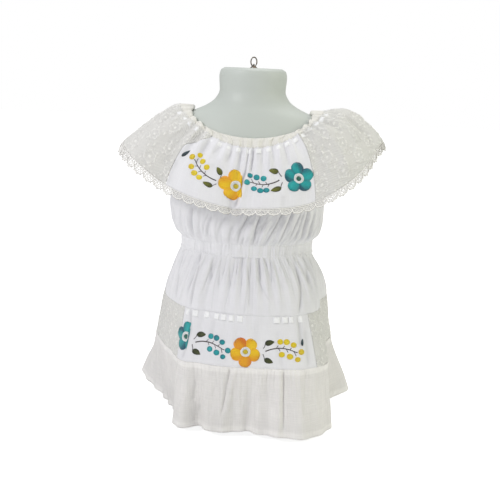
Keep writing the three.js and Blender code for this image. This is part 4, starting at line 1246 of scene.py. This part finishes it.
def chart(base, u0, v0):
    """A flat chart of the cloth about one place: a matrix from (u, v) to millimetres right and up as seen
    from outside, where up is the upright axis laid on the cloth."""
    at = lambda u, v: base(np.array([u]), np.array([v]))[0]
    by_u, by_v = at(u0 + 0.5, v0) - at(u0 - 0.5, v0), at(u0, v0 + 0.5) - at(u0, v0 - 0.5)
    normal = np.cross(by_u, by_v)
    normal *= np.sign(normal[:2] @ at(u0, v0)[:2]) / np.linalg.norm(normal)
    up = np.array([0, 0, 1]) - normal * normal[2]
    up /= np.linalg.norm(up)
    right = np.cross(up, normal)
    return np.array([[by_u @ right, by_v @ right], [by_u @ up, by_v @ up]])


class Motifs:
    """Collects satin-stitched patches and stems on one cloth surface, and makes them into one mesh."""

    def __init__(self, point, base, foliage, seed):
        self.point, self.base, self.foliage, self.tuck = point, base, foliage, None
        self.parts, self.random = [], np.random.default_rng(seed)

    def place(self, origin, x, y):
        """Millimetres right and up of an origin, as places on the cloth."""
        inverse = np.linalg.inv(chart(self.base, *origin))
        return (origin[0] + inverse[0, 0] * x + inverse[0, 1] * y,
                origin[1] + inverse[1, 0] * x + inverse[1, 1] * y)

    def local(self, origin, place):
        """A place on the cloth as millimetres right and up of an origin."""
        return chart(self.base, *origin) @ (np.array(place, float) - origin)

    def add(self, origin, x, y, height, colour, faces):
        """Lays points on the cloth at a height over its face. Past the tuck they are drawn in and sunk."""
        if self.tuck is not None:
            past = np.maximum(x - self.tuck, 0)
            x, height = x - 0.86 * past, height - 0.1 * past
        u, v = self.place(origin, x, y)
        points = self.point(u, v, CLOTH_FACE + height)
        self.parts.append((points.reshape(-1, 3), colour.reshape(-1, 3), faces))

    def shaded(self, thread, depth):
        """Threads coloured between two tones: depth goes from 0, light, to 1, deep; in a patch it also
        carries painted shade and highlight.
        """
        light, deep = (np.array(tone) for tone in THREADS[thread])
        return mix(light, deep, np.clip(depth, 0, 1)[..., None])

    def patch(self, origin, at, heading, length, width, thread, outline, height, deep=0.35, side=0.0):
        """A padded satin-stitch patch: threads run along it, its half-width is outline(s) * width / 2, and
        it rises as a dome of 1 - |t| ** 3 with a ridge for each thread. `deep` is its depth of colour, and
        `side` deepens one side and its far end. Its colour is also painted deeper at its edges and root, as
        the shade where patches meet, and lighter towards its tip, as a painted highlight."""
        threads = max(8, int(width / THREAD_PITCH))
        s, t = np.meshgrid(np.linspace(0, 1, 15), np.linspace(1, -1, 2 * threads + 1), indexing="ij")
        ragged = 1 + 0.035 * self.random.uniform(-1, 1, s.shape[1])[None] * (s > 0.5)
        x, y = s * length * ragged, t * np.maximum(outline(s), NARROWEST_TIP) * width / 2
        dome = (1 - np.abs(t) ** 3) * np.sqrt(np.clip(1 - (2 * s - 1) ** 6, 0, 1))
        ridge = 0.09 * np.cos(np.pi * np.arange(2 * threads + 1))[None] * dome
        # painted shade and highlight: deeper towards the root and at the edges, lighter towards the tip; the
        # random terms are the threads' own changes of colour
        tone = deep + 0.6 * (0.55 - s) + 0.3 * self.random.uniform(-1, 1, s.shape[1])[None]
        tone = tone + 0.8 * np.abs(t) ** 2.5 - 0.15 + 0.12 * self.random.uniform(-1, 1, s.shape)
        tone = tone + np.abs(side) * smoothstep(0.1, 0.9, np.sign(side) * t * 0.5 + s * 0.8)
        turn = np.radians(heading)
        self.add(origin, at[0] + x * np.cos(turn) - y * np.sin(turn),
                 at[1] + x * np.sin(turn) + y * np.cos(turn),
                 height * dome + ridge - 0.25 * (1 - dome), self.shaded(thread, tone), grid_faces(*s.shape))

    def stem(self, origin, points, width, thread="stem"):
        """A cord of stem stitch along a curve bent by its middle point, narrowing to its end, with slanted
        stitches."""
        stitch = 1.6
        (x0, y0), (x1, y1), (x2, y2) = points
        steps = max(8, int(np.hypot(x2 - x0, y2 - y0) / 0.7))
        s, t = np.meshgrid(np.linspace(0, 1, steps), np.linspace(1, -1, 5), indexing="ij")
        bend = lambda a, b, c: (1 - s) ** 2 * a + 2 * s * (1 - s) * b + s * s * c
        slope = lambda a, b, c: 2 * (1 - s) * (b - a) + 2 * s * (c - b)
        dx, dy = slope(x0, x1, x2), slope(y0, y1, y2)
        size = np.hypot(dx, dy) + 1e-9
        half = width / 2 * (1 - 0.35 * s)
        slant = 0.1 * np.cos(2 * np.pi * (s * size.mean() / stitch + 0.3 * t))
        tone = 0.4 + 0.4 * self.random.uniform(-1, 1, steps)[:, None] + 0 * t
        self.add(origin, bend(x0, x1, x2) - t * half * dy / size, bend(y0, y1, y2) + t * half * dx / size,
                 0.5 * (1 - t * t) - 0.15 + slant * (1 - t * t), self.shaded(thread, tone),
                 grid_faces(*s.shape))

    def ring(self, origin, inner, outer, thread, height):
        """A round band of radial stitches, domed across."""
        stitches = int(np.pi * (inner + outer) / THREAD_PITCH)
        turn, t = np.meshgrid(np.linspace(0, 2 * np.pi, 2 * stitches, endpoint=False)[::-1],
                              np.linspace(1, -1, 6), indexing="ij")
        radius = mix((inner + outer) / 2, outer, t)
        dome = 1 - t**4
        ridge = 0.08 * np.cos(np.pi * np.arange(2 * stitches))[:, None] * dome
        tone = 0.4 + 0.3 * self.random.uniform(-1, 1, 2 * stitches)[:, None] + 0 * t
        self.add(origin, radius * np.cos(turn), radius * np.sin(turn),
                 height * dome + ridge - 0.2 * (1 - dome), self.shaded(thread, tone),
                 grid_faces(*turn.shape, closed=True))

    def flower(self, origin, size, turn, threads, middle, tuck=None):
        """Five round petals, a white ring and a small middle. What lies right of a tuck is folded away."""
        self.tuck = tuck
        for k, (height, side) in enumerate(PETALS):
            heading = turn + 360 / len(PETALS) * k
            at = 0.105 * size * cos(heading), 0.105 * size * sin(heading)
            self.patch(origin, at, heading, (0.40 + 0.02 * (k % 2)) * size, (0.45 + 0.02 * (k % 3)) * size,
                       threads[k % len(threads)], petal_outline, height, 0.05 + 0.1 * (k % 3), side)
        self.ring(origin, 0.075 * size, 0.185 * size, "white", 1.5)
        self.patch(origin, (-0.085 * size, 0), 0, 0.17 * size, 0.17 * size, middle, round_outline, 1.3)
        self.tuck = None

    def leaf(self, origin, at, heading, length, thread, width=0.62):
        """A flat leaf; its width is a share of its length."""
        self.patch(origin, at, heading, length, width * length, thread, leaf_outline, 0.7, 0.5)

    def sprig(self, root, tip, bow, berry):
        """A bent stem from root to tip, berries on short twigs to both sides of its outer half, one past
        its tip, and leaves on short stems beside its root."""
        origin = ((root[0] + tip[0]) / 2, (root[1] + tip[1]) / 2)
        start, end = self.local(origin, root), self.local(origin, tip)
        line = end - start
        reach = np.hypot(*line)
        ahead = line / reach
        side = np.array([-ahead[1], ahead[0]])
        middle = (start + end) / 2 + 2 * bow * side
        self.stem(origin, (start, middle, end), 1.7)
        curve = lambda s: (1 - s) ** 2 * start + 2 * s * (1 - s) * middle + s * s * end
        for share, across, size in zip(*BERRIES.values()):
            foot = curve(min(share - 0.12, 0.97))
            head = curve(min(share, 1.0)) + side * across + ahead * max(0, share - 1) * reach
            toward = (head - foot) / max(np.hypot(*(head - foot)), 1e-6)
            self.stem(origin, (foot, (foot + head) / 2 + ahead * 0.6, head - toward * size * 0.7), 1.0)
            self.patch(origin, head - np.array([size / 2, 0]), 0, size, size, berry, round_outline, 0.9,
                       0.35 + 0.3 * self.random.uniform(-1, 1))
        for share, across, heading, length in zip(*LEAVES.values()):
            base = start + line * share + side * across
            turn = np.degrees(np.arctan2(ahead[1], ahead[0])) + heading
            bend = start - ahead * 3 + side * across * 0.35, start + side * across * 0.9, base
            self.stem(origin, bend, 1.1)
            self.leaf(origin, base, turn, length, self.foliage)

    def finish(self, name):
        """Makes all the parts into one piece."""
        points, faces = combined([(points, faces) for points, _, faces in self.parts])
        colour = np.concatenate([tone for _, tone, _ in self.parts])
        return add_piece(name, points, faces, FLOSS, colour=colour)


def petal_outline(s):
    """Almost a circle, a little squarer at its outer end."""
    return np.clip(1 - np.abs(2 * s - 1) ** 2.3, 0, 1) ** 0.5


def round_outline(s):
    """A circle."""
    return np.clip(1 - (2 * s - 1) ** 2, 0, 1) ** 0.5


def leaf_outline(s):
    """Widest near its base, and drawn out to a point."""
    return np.clip(4 * s**0.75 * (1 - s**0.75), 0, 1) ** 0.8


# A sprig's berries and leaves: share of the way along the stem, and millimetres across it.
BERRIES = table("share across size", [
    [0.47, 7.8, 7.4], [0.68, 8.4, 7.8], [0.90, 7.4, 7.2], [0.54, -7.6, 7.4], [0.79, -8.0, 7.6],
    [1.14, 0.6, 7.6], [1.02, -8.2, 6.6],
])
LEAVES = table("share across heading length", [[-0.04, 9.4, 14, 12.5], [-0.02, -9.8, -16, 12.0]])
# A petal's height, and the side that is deeper in colour.
PETALS = [(0.9, 0.6), (1.25, -0.9), (1.0, 0.75), (1.35, 0.5), (1.1, -1.0)]


def embroider_flounce():
    """Left to right: a loose leaf, a sprig, the yellow flower tucked into a fold, a sprig, a flower."""
    motifs = Motifs(flounce, flounce_base, "leaf", 101)
    motifs.sprig((-18.8, 62.6), (-34.6, 50.0), 3.2, "berry_yellow")
    motifs.flower((-6.0, 63.0), 38, 100, ("yellow",), "middle_yellow", tuck=6.5)
    motifs.sprig((24.4, 57.4), (4.4, 57.0), 3.4, "berry_teal")
    motifs.flower((36.6, 61.5), 37, 24, ("teal",), "middle_green")
    motifs.leaf((-43.0, 55.0), (0, 0), 38, 13, "ink", 0.4)
    return motifs.finish("embroidery_flounce")


def embroider_band():
    """Left to right: a flower tucked into a fold, a sprig, the middle flower, a sprig, a loose leaf."""
    motifs = Motifs(skirt, skirt_base, "dark_leaf", 202)
    motifs.flower((-38.4, 121.5), 37, 98, ("teal",), "middle_green", tuck=2.5)
    motifs.sprig((-31.6, 116.6), (-13.0, 112.0), 4.6, "berry_teal")
    motifs.flower((1.0, 111.8), 36, 54, ("yellow", "orange"), "middle_yellow")
    motifs.sprig((14.2, 113.4), (33.4, 112.4), 4.8, "berry_yellow")
    motifs.leaf((37.4, 119.5), (0, 0), 82, 9, "ink", 0.4)
    return motifs.finish("embroidery_band")


embroidery = {"flounce": embroider_flounce(), "band": embroider_band()}


# ---- Sewing ----
def stitch_row(point, angles, v, length, gap, out):
    """A row of straight stitches along a level: each is a small loaf, domed across and dipping into the
    cloth at both ends."""
    width, rows_down = 0.55, 1 if point is flounce else -1
    us = np.linspace(*angles, 1500)
    walked = walk(point(us, v))
    count = int(walked[-1] / (length + gap))
    start = (np.arange(count) + 0.15) * walked[-1] / count
    s, t = np.meshgrid(np.linspace(0, 1, 5), np.linspace(1, -1, 4), indexing="ij")
    u = np.interp(start[:, None, None] + s * length, walked, us)
    rise = np.sqrt(np.clip(1 - (2 * s - 1) ** 4, 0, 1)) * (1 - t * t)
    points = point(u, v - rows_down * t * width / 2, out + 0.42 * rise - 0.18)
    return points.reshape(-1, 3), many_faces(grid_faces(*s.shape), count, s.size)


def sew(name, point, angles, rows, margin=0.4):
    """Rows of stitches between a panel's sides: each row's level, stitch length, gap and height."""
    shortened = angles[0] + margin, angles[1] - margin
    points, faces = combined([stitch_row(point, shortened, *row) for row in rows])
    return add_piece("stitches_" + name, points, faces, WHITE_THREAD)


FLOUNCE_ROWS = [(13.4, 2.2, 1.0, 1.05), (94.6, 2.2, 1.0, 1.05)]
WAIST_ROWS = [(WAIST_TOP_Z - 2.0, 2.2, 1.2, 1.15), (WAIST_BOTTOM_Z + 2.4, 2.2, 1.2, 1.6)]
BAND_ROWS = [(SEAM_Z + 2.0, 2.2, 1.0, 1.05), (BAND_Z - 0.8, 2.0, 1.0, 1.05)]
HEM_ROWS = [(HEM_Z + HEM_TURNED, 2.4, 1.2, 0.85)]
sewing = {}
for side, angles in PLAIN_QUARTERS.items():
    sewing["flounce_" + side] = sew("flounce_" + side, flounce, angles, FLOUNCE_ROWS)
sewing["waist_casing"] = sew("waist", bodice, ALL_ROUND, WAIST_ROWS, 0.1)
for side, angles in PLAIN_QUARTERS.items():
    sewing["band_" + side] = sew("band_" + side, skirt, angles, BAND_ROWS)
for side, angles in HALVES.items():
    sewing["hem_flounce_" + side] = sew("hem_" + side, skirt, angles, HEM_ROWS)


# ---- Camera, light and floor ----
# Metres, millimetres of lens, and degrees down and round.
CAMERA_PLACE, CAMERA_LENS, CAMERA_PITCH, CAMERA_ROLL = (0.0054, -1.25, 0.44), 70.27, 10, 2.5
# Each light's place and aim, its size and power, and its colour.
LIGHTS = {
    "key": ((-1.6, -1.4, 1.5), (0, 0, 0.25), 0.6, 21, (1, 0.99, 1)),
    "fill": ((1.9, -0.5, 0.8), (0, 0, 0.2), 1.0, 9, (0.99, 1, 0.72)),
    "top": ((0.2, 0.3, 2.2), (0, 0, 0.3), 1.2, 14.5, (1, 1, 1)),
}


def place_camera():
    """Level with the neckline, looking ten degrees down from the front, and rolled by two and a half."""
    pitch, roll = np.radians(CAMERA_PITCH), np.radians(CAMERA_ROLL)
    ahead = Vector((0, np.cos(pitch), -np.sin(pitch)))
    right, up = Vector((1, 0, 0)), Vector((0, np.sin(pitch), np.cos(pitch)))
    turned_right = right * np.cos(roll) + up * np.sin(roll)
    turned_up = up * np.cos(roll) - right * np.sin(roll)
    lens = bpy.data.cameras.new("camera")
    lens.sensor_width = 36
    lens.lens = CAMERA_LENS
    camera = bpy.data.objects.new("camera", lens)
    camera.matrix_world = Matrix.Translation(CAMERA_PLACE) @ Matrix(
        (turned_right, turned_up, -ahead)).transposed().to_4x4()
    bpy.context.scene.collection.objects.link(camera)
    bpy.context.scene.camera = camera


def soft_light(name, place, aim, size, power, colour):
    """A square soft box at a place, turned towards its aim."""
    data = bpy.data.lights.new(name, "AREA")
    data.size, data.energy, data.color = size, power, colour
    box = bpy.data.objects.new(name, data)
    box.location = place
    box.rotation_euler = (Vector(aim) - Vector(place)).to_track_quat("-Z", "Y").to_euler()
    bpy.context.scene.collection.objects.link(box)


def seen_directly(tree, seen, otherwise):
    """One strength where the camera sees a surface itself, and another where it lights the dress."""
    ray = node(tree, "ShaderNodeLightPath").outputs["Is Camera Ray"]
    return math(tree, "MULTIPLY_ADD", ray, seen - otherwise, otherwise)


def build_studio():
    """A plain white floor, a key from the front left, a weaker fill, one above, and an even white world."""
    floor_material = bpy.data.materials.new("studio_floor")
    floor_material.use_nodes = True
    tree = floor_material.node_tree
    paper = tree.nodes["Principled BSDF"]
    paper.inputs["Base Color"].default_value = (0.93, 0.93, 0.93, 1)
    paper.inputs["Roughness"].default_value = 1.0
    paper.inputs["Specular IOR Level"].default_value = 0.0
    paper.inputs["Emission Color"].default_value = (1, 1, 1, 1)
    tree.links.new(seen_directly(tree, 0.85, 0.0), paper.inputs["Emission Strength"])
    mesh = bpy.data.meshes.new("studio_floor")
    mesh.from_pydata([(-9, -9, 0), (9, -9, 0), (9, 9, 0), (-9, 9, 0)], [], [(0, 1, 2, 3)])
    mesh.materials.append(floor_material)
    floor = bpy.data.objects.new("studio_floor", mesh)
    bpy.context.scene.collection.objects.link(floor)
    world = bpy.data.worlds.new("studio")
    world.use_nodes = True
    tree = world.node_tree
    tree.links.new(seen_directly(tree, 1.0, 0.50), tree.nodes["Background"].inputs["Strength"])
    tree.nodes["Background"].inputs["Color"].default_value = (1, 1, 1, 1)
    bpy.context.scene.world = world
    for name, settings in LIGHTS.items():
        soft_light(name, *settings)
    bpy.context.scene.view_settings.view_transform = "Standard"


place_camera()
build_studio()

worn_with = {
    "flounce_front": [neck_ribbon, edging["front"], embroidery["flounce"], sewing["flounce_front"]],
    "flounce_back": [edging["back"], sewing["flounce_back"]],
    "waist_casing": [sewing["waist_casing"]],
    "band_front": [skirt_ribbon, embroidery["band"], sewing["band_front"]],
    "band_back": [sewing["band_back"]],
    "hem_flounce_front": [sewing["hem_flounce_front"]],
    "hem_flounce_back": [sewing["hem_flounce_back"]],
}
for name, piece in cloth.items():
    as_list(worn_with.get(name, []))
